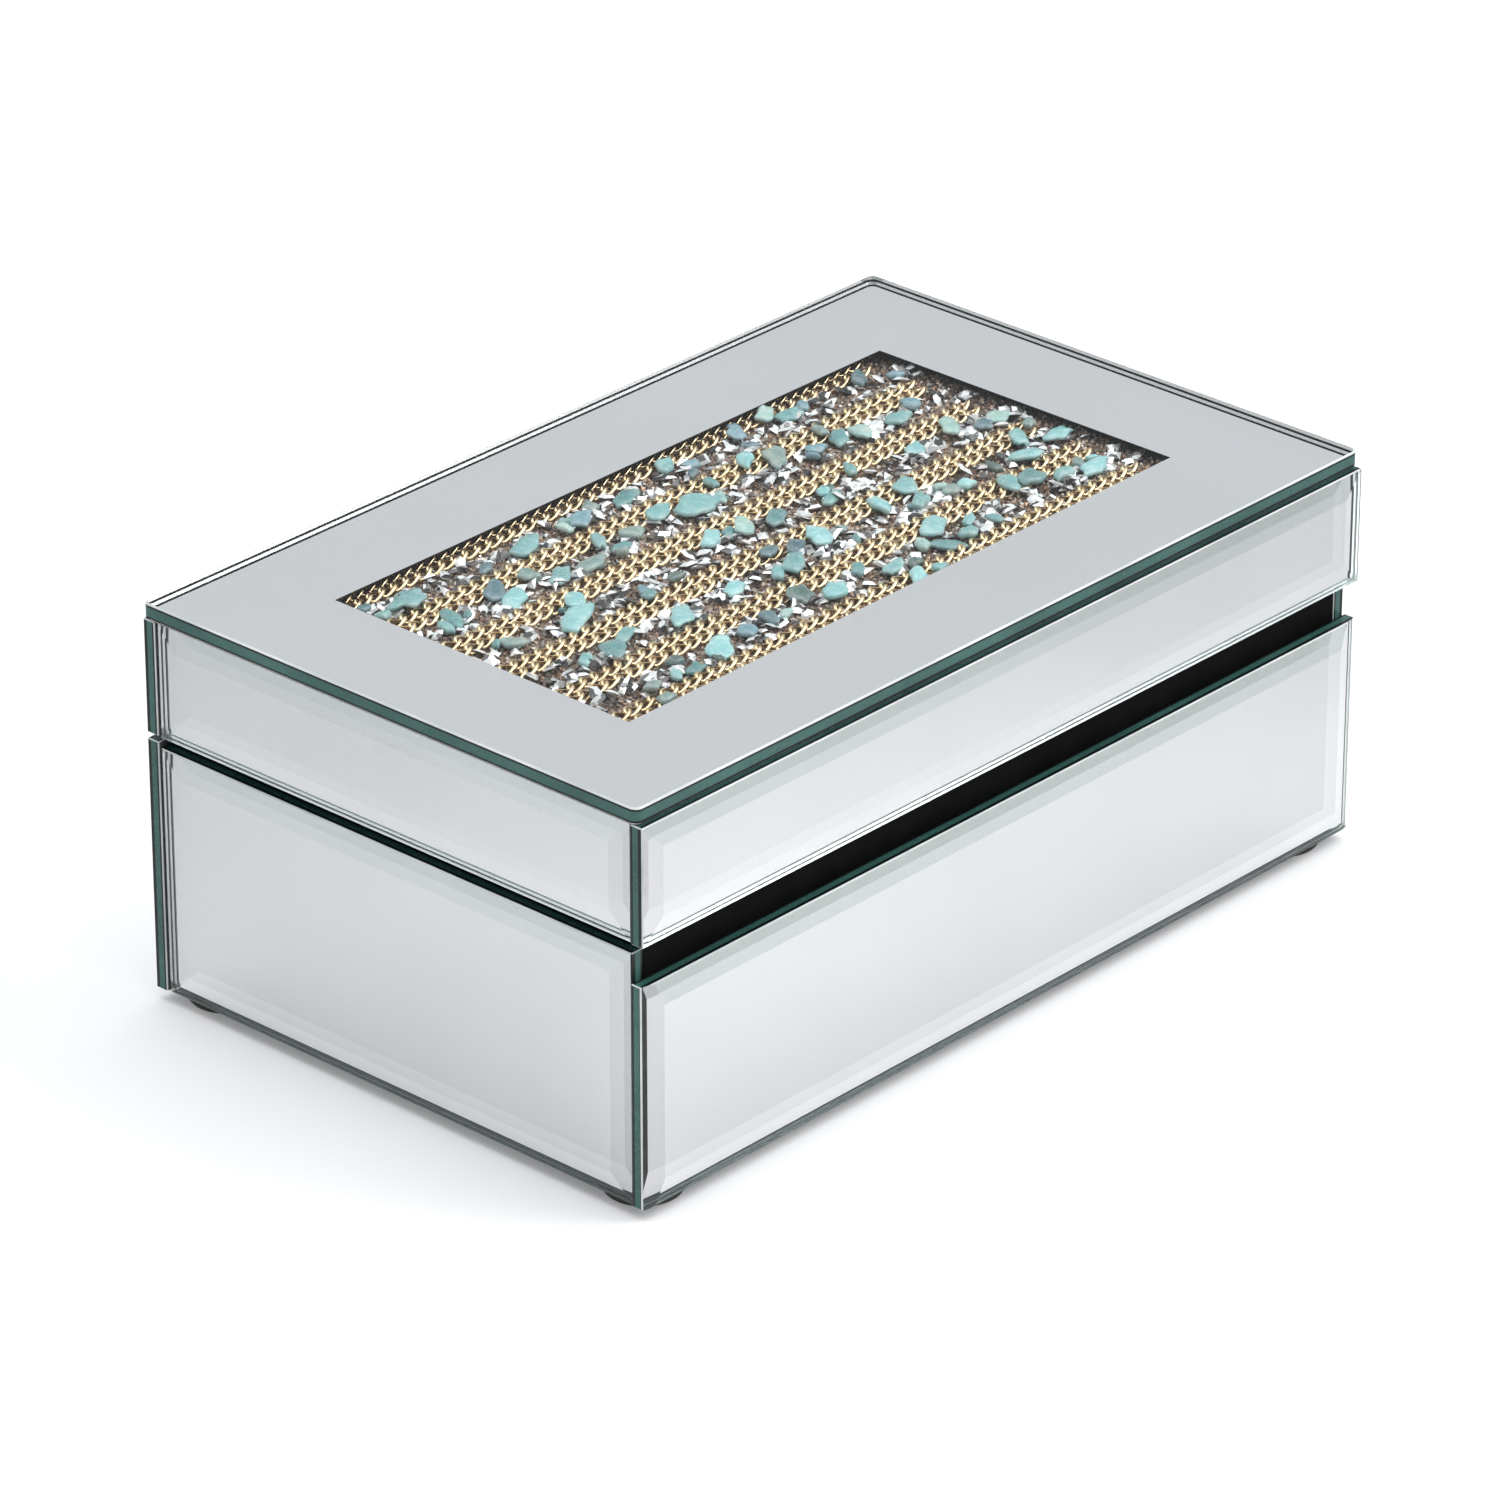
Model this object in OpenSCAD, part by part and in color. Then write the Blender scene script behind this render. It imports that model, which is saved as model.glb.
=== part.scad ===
// Mirrored trinket box: a board box and a hinged board lid, both clad in bevelled mirror glass.
// The glass top plate has a clear window over a sunk bed of chain, crystals and stone chips.
// +Z is up, the long front faces -Y, and the feet stand on Z = 0.

/* [Overall size] */
// Width over the side mirrors
body_w = 240; // [220:1:280]
// Depth over the front and back mirrors
body_d = 150; // [135:1:180]
// Height of the base box, from its underside to its rim
base_h = 63; // [50:1:90]
// Height of the lid's sides, from its rim to the top plate
lid_h = 28.6; // [24:0.1:40]
// Gap between the two rims when the lid is shut
parting_gap = 0.4; // [0.4:0.1:0.6]

/* [Mirrors] */
// Thickness of the side mirrors
mirror_t = 4; // [3:0.1:5]
// Width of the bevel along each mirror's edge
bevel_w = 6; // [3:0.5:8]
// How far the bevel falls below the face at the mirror's edge
bevel_drop = 0.5; // [0.3:0.1:1.4]
// The same at the two ends of the front base mirror, which are ground deeper
end_drop = 1.2; // [0.3:0.1:1.6]
// Adhesive line between glass and board
glue_t = 0.2; // [0.1:0.05:0.3]
// How far the front base mirror stops below the rim, as a finger strip
finger_h = 9; // [6:0.5:14]
// How far the side base mirrors stop below the rim
side_drop = 2.1; // [1:0.1:4]
// Clearance between hinge leaf and back mirrors
leaf_clear = 0.1; // [0.1:0.05:0.2]

/* [Top plate] */
// Thickness of the top glass plate
plate_t = 4; // [3:0.5:6]
// How far the plate stands out past the left and right mirrors
plate_over = 0.3; // [0:0.1:2]
// How far the plate's front edge is set back from the front mirror's face
plate_setback = 1.8; // [0:0.1:3]
// How far the plate's back edge is set back from the back mirror's face
plate_back_setback = 0.6; // [0:0.1:2]
// Plan radius of the plate's corners
plate_corner = 2; // [1:0.5:6]
// Ground chamfer along the plate's edges
plate_chamfer = 0.3; // [0.2:0.1:1]

/* [Boards] */
// Thickness of the wall boards
wall_t = 9; // [6:0.5:12]
// Thickness of the bottom board
bottom_t = 6; // [4:0.5:9]
// Thickness of the lid's top board, which is the depth of the well
top_board_t = 3.6; // [3:0.2:6]
// Length of the well in the top board
well_w = 190; // [150:1:200]
// Depth, front to back, of the well in the top board
well_d = 100; // [70:1:110]
// Thickness of the board under the decoration
deco_board_t = 3; // [2:0.5:4]

/* [Lining] */
// Thickness of a velvet-covered lining card
lining_t = 1.6; // [1:0.1:3]
// How far the lining stops below the rims
lining_drop = 1; // [0:0.5:6]

/* [Decoration] */
// Thickness of the bed of fine granules
bed_t = 0.8; // [0.4:0.1:1]
// Distance between two rows of chain
row_pitch = 16.8; // [15:0.1:20]
// Rows of chain
rows = 6; // [3:1:6]
// Length of each row
row_len = 178; // [120:1:180]
// Distance between two links along a row
link_pitch = 3.7; // [3:0.1:6]
// Width across a row
link_span = 6.4; // [4:0.1:7]
// Height of a link above the bed
link_h = 2.4; // [1.5:0.1:2.6]

/* [Hinges] */
// Length of a hinge
hinge_len = 30; // [24:1:50]
// Distance of each hinge from the middle of the box
hinge_x = 70; // [40:1:85]
// Thickness of a leaf
leaf_t = 0.4; // [0.3:0.1:0.4]
// Radius of the pin
pin_r = 0.75; // [0.6:0.05:0.8]
// Outer radius of a knuckle
knuckle_r = 1.5; // [1.4:0.1:1.8]

/* [Feet] */
// Height of a foot
foot_h = 3; // [2:0.5:6]
// Diameter of a foot
foot_d = 18; // [10:1:20]
// Distance of a foot's centre from the mirrors' outer faces
foot_inset = 11.5; // [10:0.5:20]

/* [Hidden] */
$fn = 48;
eps = 0.01;

// Heights of the main levels
rim_z = foot_h + base_h;
lid_z = rim_z + parting_gap;
lid_top_z = lid_z + lid_h;
plate_z = lid_top_z;
board_top_z = lid_top_z - glue_t;
top_board_z = board_top_z - top_board_t;
bed_z = top_board_z - bed_t;
deco_board_z = bed_z - deco_board_t;
bed_top_z = top_board_z;
floor_z = foot_h + bottom_t;

// Edges of the back mirrors, which leave room for the hinge leaves between them
back_base_z = rim_z - leaf_t - leaf_clear;
back_lid_z = lid_z + leaf_t + leaf_clear;

// Outline of the boards behind the glass, and of the space inside them
board_w = body_w - 2 * (mirror_t + glue_t);
board_d = body_d - 2 * (mirror_t + glue_t);
inner_w = board_w - 2 * wall_t;
inner_d = board_d - 2 * wall_t;
fit_gap = 0.1;

// Hinge: the axis lies just behind the back mirrors, level with the parting gap
bore_r = pin_r + 0.05;
barrel_gap = 0.35;
axis_y = body_d / 2 + barrel_gap + knuckle_r;
axis_z = rim_z + parting_gap / 2;
knuckle_gap = 0.3;
knuckle_len = (hinge_len - 2 * knuckle_gap) / 3;
leaf_reach = 8;
leaf_y = board_d / 2 - leaf_reach;
screw_y = board_d / 2 - 4.2;
screw_x = 10;
screw_r = 1;
screw_head_r = 2;
screw_len = 7;
head_cone_h = screw_head_r - screw_r;
hole_play = 0.05;

// The front mirrors' faces and the barrels' back edge lie evenly about Y = 0
hinge_reach = axis_y + knuckle_r - body_d / 2;
box_y = -hinge_reach / 2;

// Rows of chain and the strips of stones between them, from the back forwards
first_row_y = 46.2;
row_x = -1.5;
strip_pitch_x = 5.2;
strip_columns = 34;

// ---------- shared shapes ----------

// A board given by its two opposite corners
module block(low, high) {
    translate([0, box_y, 0])
        translate(low)
            cube(high - low);
}

// Cross-section of a sheet of glass whose bevels fall by drop along both long edges of its upper face
module bevel_profile(span, drop) {
    polygon([[-span / 2, 0], [span / 2, 0], [span / 2, mirror_t - drop],
        [span / 2 - bevel_w, mirror_t], [-span / 2 + bevel_w, mirror_t], [-span / 2, mirror_t - drop]]);
}

// Sheet centred on X, rising along Y from 0 to tall, with its bevelled face towards +Z
module bevelled_sheet(wide, tall, ends) {
    intersection() {
        rotate([90, 0, 180])
            linear_extrude(tall)
                bevel_profile(wide, ends);
        translate([-wide / 2, tall / 2, 0])
            rotate([90, 0, 90])
                linear_extrude(wide)
                    bevel_profile(tall, bevel_drop);
    }
}

// Mirror standing on one side of the box: turn is 0 for front, -90 left, 90 right, 180 back
module mirror_panel(turn, wide, z_low, z_high, ends = bevel_drop) {
    out = abs(turn) == 90 ? board_w / 2 + glue_t : board_d / 2 + glue_t;
    color("lightsteelblue")
        translate([0, box_y, z_low])
            rotate([0, 0, turn])
                translate([0, -out, 0])
                    rotate([90, 0, 0])
                        bevelled_sheet(wide, z_high - z_low, ends);
}

// One wall board across the whole width, on the front (-1) or back (1)
module long_board(side, z_low, z_high) {
    y_low = side < 0 ? -board_d / 2 : inner_d / 2;
    block([-board_w / 2, y_low, z_low], [board_w / 2, y_low + wall_t, z_high]);
}

// One wall board between the long boards, on the left (-1) or right (1)
module short_board(side, z_low, z_high) {
    x_low = side < 0 ? -board_w / 2 : inner_w / 2;
    block([x_low, -inner_d / 2, z_low], [x_low + wall_t, inner_d / 2, z_high]);
}

// Lining card on a long wall, which runs the whole way between the short walls
module long_lining(side, z_low, z_high) {
    y_low = side < 0 ? -inner_d / 2 + fit_gap : inner_d / 2 - fit_gap - lining_t;
    color("dimgray")
        block([-inner_w / 2 + fit_gap, y_low, z_low], [inner_w / 2 - fit_gap, y_low + lining_t, z_high]);
}

// Lining card on a short wall, which fits between the long cards
module short_lining(side, z_low, z_high) {
    x_low = side < 0 ? -inner_w / 2 + fit_gap : inner_w / 2 - fit_gap - lining_t;
    y_end = inner_d / 2 - 2 * fit_gap - lining_t;
    color("dimgray")
        block([x_low, -y_end, z_low], [x_low + lining_t, y_end, z_high]);
}

// ---------- base box ----------

module base_bottom_board() {
    color("black")
        block([-board_w / 2, -board_d / 2, foot_h], [board_w / 2, board_d / 2, floor_z]);
}

module base_wall_front() {
    color("black")
        long_board(-1, floor_z, rim_z);
}

// The back wall is let in for the hinge leaves and drilled for their screws
module base_wall_back() {
    color("black")
        difference() {
            long_board(1, floor_z, rim_z);
            for (x = [-hinge_x, hinge_x])
                translate([x, box_y, rim_z]) {
                    leaf_recess(-1);
                    screw_places() rotate([180, 0, 0]) screw_space();
                }
        }
}

module base_wall_short(side) {
    color("black")
        short_board(side, floor_z, rim_z);
}

module floor_lining() {
    color("dimgray")
        block([-inner_w / 2 + fit_gap, -inner_d / 2 + fit_gap, floor_z],
            [inner_w / 2 - fit_gap, inner_d / 2 - fit_gap, floor_z + lining_t]);
}

base_lining_low = floor_z + lining_t + fit_gap;
base_lining_high = rim_z - lining_drop;

// Low round foot with a rounded lower edge
module foot(side_x, side_y) {
    r = foot_d / 2;
    round_r = min(1, foot_h - 0.5);
    color("black")
        translate([side_x * (body_w / 2 - foot_inset), box_y + side_y * (body_d / 2 - foot_inset), 0])
            rotate_extrude()
                union() {
                    square([r - round_r, foot_h]);
                    translate([0, round_r])
                        square([r, foot_h - round_r]);
                    translate([r - round_r, round_r])
                        intersection() {
                            circle(round_r);
                            translate([0, -round_r])
                                square(round_r);
                        }
                }
}

// ---------- hinges ----------

// Space for a leaf, cut down (-1) into the base or up (1) into the lid
module leaf_recess(side) {
    recess_t = leaf_t + eps;
    translate([-hinge_len / 2 - fit_gap, leaf_y - fit_gap, side < 0 ? -recess_t : -1])
        cube([hinge_len + 2 * fit_gap, leaf_reach + 2, recess_t + 1]);
}

// The two screw positions of a leaf
module screw_places() {
    for (x = [-screw_x, screw_x])
        translate([x, screw_y, 0])
            children();
}

// Countersunk body: its head's face at Z = 0 and its shank up +Z, made larger by play
module countersunk(play) {
    cylinder(r1 = screw_head_r + play, r2 = screw_r + play, h = head_cone_h);
    cylinder(r = screw_r + play, h = screw_len + play);
}

module screw_space() {
    countersunk(hole_play);
    translate([0, 0, -1])
        cylinder(r = screw_head_r + hole_play, h = 1 + eps);
}

// Ring round the pin, from x_low along X
module knuckle(x_low, len) {
    translate([x_low, axis_y, axis_z])
        rotate([0, 90, 0])
            cylinder(r = knuckle_r, h = len);
}

// Leaf: side -1 is screwed to the base and has the two outer knuckles, side 1 has the middle one
module hinge_leaf(x, side) {
    knuckle_lows = side < 0 ? [-hinge_len / 2, hinge_len / 2 - knuckle_len] : [-knuckle_len / 2];
    face_z = side < 0 ? rim_z : lid_z;
    low_z = side < 0 ? rim_z - leaf_t : lid_z;
    plate_end = body_d / 2;
    color("gold")
        translate([x, box_y, 0])
            difference() {
                union() {
                    translate([-hinge_len / 2, leaf_y, low_z])
                        cube([hinge_len, plate_end - leaf_y, leaf_t]);
                    for (low = knuckle_lows) {
                        knuckle(low, knuckle_len);
                        translate([low, leaf_y, low_z])
                            cube([knuckle_len, axis_y - bore_r - 0.1 - leaf_y, leaf_t]);
                    }
                }
                translate([-hinge_len, axis_y, axis_z])
                    rotate([0, 90, 0])
                        cylinder(r = bore_r, h = 2 * hinge_len);
                translate([0, 0, face_z])
                    screw_places()
                        rotate([side < 0 ? 180 : 0, 0, 0])
                            screw_space();
            }
}

// Pin with a small head at each end, which keeps it in the knuckles
module hinge_pin(x) {
    head_t = 0.6;
    head_r = 1.2;
    play = 0.1;
    color("gold")
        translate([x - hinge_len / 2 - play - head_t, box_y + axis_y, axis_z])
            rotate([0, 90, 0]) {
                cylinder(r = pin_r, h = hinge_len + 2 * play + 2 * head_t);
                cylinder(r = head_r, h = head_t);
                translate([0, 0, hinge_len + 2 * play + head_t])
                    cylinder(r = head_r, h = head_t);
            }
}

// Screw with a cross slot sunk in its head
module cross_screw() {
    slot_w = 0.45;
    slot_len = 2.4;
    slot_depth = 0.7;
    difference() {
        countersunk(0);
        for (turn = [0, 90])
            rotate([0, 0, turn])
                translate([-slot_len / 2, -slot_w / 2, -1])
                    cube([slot_len, slot_w, 1 + slot_depth]);
    }
}

module hinge_screws(side) {
    color("gold")
        for (x = [-hinge_x, hinge_x])
            translate([x, box_y, side < 0 ? rim_z : lid_z])
                screw_places()
                    rotate([side < 0 ? 180 : 0, 0, 20])
                        cross_screw();
}

// ---------- lid ----------

module lid_wall_front() {
    color("black")
        long_board(-1, lid_z, top_board_z);
}

module lid_wall_back() {
    color("black")
        difference() {
            long_board(1, lid_z, top_board_z);
            for (x = [-hinge_x, hinge_x])
                translate([x, box_y, lid_z]) {
                    leaf_recess(1);
                    screw_places() screw_space();
                }
        }
}

module lid_wall_short(side) {
    color("black")
        short_board(side, lid_z, top_board_z);
}

// Top board with the well cut right through it
module lid_top_board() {
    color("black")
        difference() {
            block([-board_w / 2, -board_d / 2, top_board_z], [board_w / 2, board_d / 2, board_top_z]);
            block([-well_w / 2, -well_d / 2, top_board_z - 1], [well_w / 2, well_d / 2, board_top_z + 1]);
        }
}

module ceiling_lining() {
    color("dimgray")
        block([-inner_w / 2 + fit_gap, -inner_d / 2 + fit_gap, deco_board_z - lining_t],
            [inner_w / 2 - fit_gap, inner_d / 2 - fit_gap, deco_board_z]);
}

lid_lining_low = lid_z + lining_drop;
lid_lining_high = deco_board_z - lining_t - fit_gap;

// Cross-section of the plate, with a chamfer on all four edges
module plate_profile(span) {
    c = plate_chamfer;
    polygon([[-span / 2 + c, 0], [span / 2 - c, 0], [span / 2, c], [span / 2, plate_t - c],
        [span / 2 - c, plate_t], [-span / 2 + c, plate_t], [-span / 2, plate_t - c], [-span / 2, c]]);
}

module top_glass_plate() {
    w = body_w + 2 * plate_over;
    d = body_d - plate_setback - plate_back_setback;
    color("aliceblue")
        translate([0, box_y + (plate_setback - plate_back_setback) / 2, plate_z])
            intersection() {
                translate([0, d / 2, 0])
                    rotate([90, 0, 0])
                        linear_extrude(d)
                            plate_profile(w);
                translate([-w / 2, 0, 0])
                    rotate([90, 0, 90])
                        linear_extrude(w)
                            plate_profile(d);
                union() {
                    translate([-w / 2 + plate_corner, -d / 2, 0])
                        cube([w - 2 * plate_corner, d, plate_t]);
                    translate([-w / 2, -d / 2 + plate_corner, 0])
                        cube([w, d - 2 * plate_corner, plate_t]);
                    for (x = [-1, 1], y = [-1, 1])
                        translate([x * (w / 2 - plate_corner), y * (d / 2 - plate_corner), 0])
                            cylinder(r = plate_corner, h = plate_t);
                }
            }
}

// ---------- decoration under the glass ----------

module decoration_board() {
    color("saddlebrown")
        block([-inner_w / 2 + fit_gap, -inner_d / 2 + fit_gap, deco_board_z],
            [inner_w / 2 - fit_gap, inner_d / 2 - fit_gap, bed_z]);
}

module granule_bed() {
    color("rosybrown")
        block([-inner_w / 2 + fit_gap, -inner_d / 2 + fit_gap, bed_z],
            [inner_w / 2 - fit_gap, inner_d / 2 - fit_gap, bed_top_z]);
}

// One flat slanting link with round ends
module chain_link() {
    slant = 35;
    link_t = 2.4;
    straight = link_span / cos(slant) - link_t;
    rotate([0, 0, slant])
        linear_extrude(link_h)
            union() {
                square([link_t, straight], center = true);
                for (end = [-1, 1])
                    translate([0, end * straight / 2])
                        circle(d = link_t);
            }
}

module chain_row(index) {
    links = floor(row_len / link_pitch);
    y = first_row_y - (index - 1) * row_pitch;
    color("goldenrod")
        for (i = [0:links - 1])
            translate([row_x + (i - (links - 1) / 2) * link_pitch, box_y + y, bed_top_z])
                chain_link();
}

// Fractional part, which spreads the stones without a visible rule
function frac(v) = v - floor(v);

// Middle of one strip, counted from the back
function strip_y(index) = first_row_y - (index + 0.5) * row_pitch;

// Column position along a strip
function column_x(column) = row_x + (column - (strip_columns - 1) / 2) * strip_pitch_x;

// True where a column of a strip holds a chip in its near half
function has_chip(index, column) = (column + index) % 2 == 0;

// Small clear pyramid
module crystal(size, turn) {
    rotate([0, 0, turn])
        cylinder(r1 = size, r2 = 0.3, h = size * 0.9, $fn = 4);
}

module crystal_stones() {
    color("white")
        for (index = [0:rows - 2], column = [0:strip_columns - 1]) {
            seed = index * 31 + column;
            size = 1.1 + 0.6 * frac(seed * 0.618);
            far = 2.3 + 0.5 * frac(seed * 0.383);
            translate([column_x(column) + 0.8 * frac(seed * 0.271), box_y + strip_y(index) + far, bed_top_z])
                crystal(size, 90 * frac(seed * 0.457));
            if (!has_chip(index, column))
                translate([column_x(column), box_y + strip_y(index) - 2.9, bed_top_z])
                    crystal(1.2, 90 * frac(seed * 0.731));
        }
}

// Flat stone chip with six sides
module chip(len, wide, thick) {
    linear_extrude(thick)
        polygon([[-len / 2, 0], [-len / 4, -wide / 2], [len / 4, -wide * 0.42],
            [len / 2, wide * 0.1], [len / 5, wide / 2], [-len / 3, wide * 0.4]]);
}

module turquoise_chips() {
    color("mediumaquamarine")
        for (index = [0:rows - 2], column = [0:strip_columns - 1])
            if (has_chip(index, column)) {
                seed = index * 17 + column;
                len = 4.6 + 2.4 * frac(seed * 0.618);
                wide = 2.6 + 0.8 * frac(seed * 0.377);
                translate([column_x(column), box_y + strip_y(index) - 2.1, bed_top_z])
                    rotate([0, 0, -12 + 24 * frac(seed * 0.529)])
                        chip(len, wide, 1.6 + 0.8 * frac(seed * 0.241));
            }
}

// ---------- nodes ----------

base_bottom_board();
base_wall_front();  // base_front_board
base_wall_back();  // base_back_board
base_wall_short(-1);  // base_left_board
base_wall_short(1);  // base_right_board
mirror_panel(0, body_w, foot_h, rim_z - finger_h, end_drop);  // base_front_mirror
mirror_panel(180, body_w, foot_h, back_base_z);  // base_back_mirror
mirror_panel(-90, board_d, foot_h, rim_z - side_drop);  // base_left_mirror
mirror_panel(90, board_d, foot_h, rim_z - side_drop);  // base_right_mirror
floor_lining();  // base_floor_lining
long_lining(-1, base_lining_low, base_lining_high);  // base_front_lining
long_lining(1, base_lining_low, base_lining_high);  // base_back_lining
short_lining(-1, base_lining_low, base_lining_high);  // base_left_lining
short_lining(1, base_lining_low, base_lining_high);  // base_right_lining
foot(-1, -1);  // foot_front_left
foot(1, -1);  // foot_front_right
foot(-1, 1);  // foot_back_left
foot(1, 1);  // foot_back_right
hinge_leaf(-hinge_x, -1);  // hinge_left_base_leaf
hinge_leaf(hinge_x, -1);  // hinge_right_base_leaf
hinge_pin(-hinge_x);  // hinge_left_pin
hinge_pin(hinge_x);  // hinge_right_pin
hinge_screws(-1);  // hinge_base_screws
hinge_leaf(-hinge_x, 1);  // hinge_left_lid_leaf
hinge_leaf(hinge_x, 1);  // hinge_right_lid_leaf
hinge_screws(1);  // hinge_lid_screws
lid_wall_front();  // lid_front_board
lid_wall_back();  // lid_back_board
lid_wall_short(-1);  // lid_left_board
lid_wall_short(1);  // lid_right_board
lid_top_board();
mirror_panel(0, body_w, lid_z, board_top_z);  // lid_front_mirror
mirror_panel(180, body_w, back_lid_z, board_top_z);  // lid_back_mirror
mirror_panel(-90, board_d, lid_z, board_top_z);  // lid_left_mirror
mirror_panel(90, board_d, lid_z, board_top_z);  // lid_right_mirror
ceiling_lining();  // lid_ceiling_lining
long_lining(-1, lid_lining_low, lid_lining_high);  // lid_front_lining
long_lining(1, lid_lining_low, lid_lining_high);  // lid_back_lining
short_lining(-1, lid_lining_low, lid_lining_high);  // lid_left_lining
short_lining(1, lid_lining_low, lid_lining_high);  // lid_right_lining
top_glass_plate();
decoration_board();
granule_bed();
chain_row(1);  // chain_row_1
chain_row(2);  // chain_row_2
chain_row(3);  // chain_row_3
chain_row(4);  // chain_row_4
chain_row(5);  // chain_row_5
chain_row(6);  // chain_row_6
crystal_stones();
turquoise_chips();
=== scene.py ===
"""Looks for the mirrored trinket box: glass, silvering, velvet, and the decoration under the window.

Everything is in metres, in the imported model's own frame, and rides on the bodies base_box or lid.
"""

import math
import random

import bmesh
import bpy
from mathutils import Euler, Matrix, Vector, noise


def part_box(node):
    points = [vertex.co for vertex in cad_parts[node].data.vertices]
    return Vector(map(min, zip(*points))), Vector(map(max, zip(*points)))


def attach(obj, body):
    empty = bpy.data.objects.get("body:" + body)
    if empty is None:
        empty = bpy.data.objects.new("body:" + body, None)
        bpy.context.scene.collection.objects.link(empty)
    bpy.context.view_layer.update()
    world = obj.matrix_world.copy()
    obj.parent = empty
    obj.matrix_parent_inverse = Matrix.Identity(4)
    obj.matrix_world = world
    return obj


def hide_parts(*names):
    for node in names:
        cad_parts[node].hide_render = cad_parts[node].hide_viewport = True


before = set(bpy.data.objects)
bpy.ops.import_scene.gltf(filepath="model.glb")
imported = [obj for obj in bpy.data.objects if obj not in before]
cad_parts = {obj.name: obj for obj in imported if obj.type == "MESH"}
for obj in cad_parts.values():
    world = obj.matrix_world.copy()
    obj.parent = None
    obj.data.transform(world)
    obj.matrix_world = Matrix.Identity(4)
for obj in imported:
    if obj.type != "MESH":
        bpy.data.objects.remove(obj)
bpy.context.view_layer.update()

MM = 0.001

# Camera: where the photograph's view is taken from, about a point near the middle of the box
VIEW_AZIMUTH = -47.73
VIEW_ELEVATION = 26.94
VIEW_DISTANCE = 1.8323
VIEW_LENS = 195.1
VIEW_TARGET = (-3.7 * MM, -0.8 * MM, 43.8 * MM)

SENSOR_WIDTH = 36
CLIP_END = 50

# Stage: a round table, one softbox and the surroundings
FLOOR_RADIUS = 8
FLOOR_SIDES = 96
KEY_PLACE = (1.0, -1.2, 1.5)
KEY_SIZE = 1.2
KEY_POWER = 14
KEY_AIM = Vector((0, 0, 0.05))
SKY_STRENGTH = 1.03
SKY_STOPS = [
    (0.0, (0.95, 0.96, 0.97)), (0.30, (0.79, 0.815, 0.85)), (0.60, (0.86, 0.88, 0.91)),
    (0.85, (1.55, 1.56, 1.58)), (1.0, (3.0, 3.0, 3.0)),
]

# Softboxes leave darker sides: behind the camera, and low down opposite it. Each is the heading in degrees
# (0 looks along +Y), the height in degrees, the half widths where it is full and where it ends, and its
# strength.
SHADES = [(VIEW_AZIMUTH - 18, 36, 14, 46, 0.85), (VIEW_AZIMUTH + 180, 24, 22, 50, 0.22)]

# Painted shade on the floor: its grey by the share of FLOOR_SPREAD that a point lies to the side of the
# view's middle, darker further aside as if the light fell off there; and its glow, a painted fill of light,
# which is full within the first distance from the middle of the box and gone at the second
FLOOR_SPREAD = 0.5
FLOOR_PAINTED_FALLOFF = [(0.18, 0.88), (0.38, 0.81), (0.5, 0.72), (0.84, 0.57)]
GLOW_REACH = (0.10, 0.27)
GLOW_STRENGTH = 0.20

# Glass and silvering. A mirror's edges are bevelled by BEVEL_DROP, and the front base mirror's ends by
# DEEP_DROP. The rims are the dark bands on the edge faces, next to the silvering and to the front: next to
# the silvering they stand for the edge of its grey paint, and next to the front they are painted shade.
BEVEL_W = 6 * MM
BEVEL_DROP = 0.5 * MM
DEEP_DROP = 1.2 * MM
ARRIS = 0.25 * MM
EDGE_RIM = 0.5 * MM
FRONT_RIM = 0.9 * MM
SILVER_T = 0.1 * MM
SILVER_SINK = 0.01 * MM
SILVER_LEVELS = (-SILVER_T, SILVER_SINK)
WINDOW_W = 180 * MM
WINDOW_D = 88 * MM
WINDOW_X = 0.5 * MM
WINDOW_Y = 1.0 * MM
PLATE_CORNER = 2 * MM
PLATE_ARRIS = 0.4 * MM
GLASS_IOR = 1.52
ABSORB_COLOR = (0.03, 0.50, 0.42, 1)
ABSORB_DENSITY = 3.0

# The top plate alone: what it lets through to light the decoration, and how far it is without gloss
LAMP_PASS = (0.97, 0.985, 0.98, 1)
PLATE_DULLING = 0.75

# Limits that tell a face by a part of its normal, and how close a cut's points may lie before they are one
FLAT_FACE = 0.9995
SIDE_FACE = 0.5
BOTTOM_FACE = -0.9
CUT_WELD = 1e-7

# Chain: two strands of twisted links to a row. Angles are in degrees.
ROWS = 6
WIRE_R = 0.5 * MM
WIRE_SIDES = 8
LINK_STEPS = 18
LINK_PITCH = 3.75 * MM
LINK_HALF_LEN = 2.5 * MM
LINK_HALF_WIDTH = 1.3 * MM
LINK_TWIST = 0.66 * MM
LINK_LIFT = 0.1 * MM
LINK_LEAN = 8
LINK_STRAY = 4
LINK_ROCK = 6
STRAND_Y = 2.05 * MM
STRAND_SHIFT = 0.3
STRAND_WANDER = 0.12 * MM
WANDER_STEP = 0.37

# The well under the window, and its bed of grains. Ranges in brackets are for random draws.
WELL_W = 190 * MM
WELL_D = 100 * MM
BED_CHAMFER = 0.2 * MM
GRAIN_PITCH = 1.2 * MM
GRAIN_SIZES = (0.42, 0.72)
GRAIN_STRAY = 0.4
GRAIN_LIFTS = (0.1, 0.6)
GRAIN_ARMS = (0.65, 1.1)
GRAIN_SHADES = (0.35, 0.7, 1.0, 1.3)
GRAIN_TINTS = [
    (0.54, 0.41, 0.33), (0.33, 0.25, 0.20), (0.46, 0.32, 0.24), (0.14, 0.10, 0.09), (0.62, 0.38, 0.25),
    (0.80, 0.71, 0.62), (0.54, 0.36, 0.26), (0.22, 0.16, 0.14), (0.95, 0.89, 0.84),
]
ANY_TURN = (0, 6.3)

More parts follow.
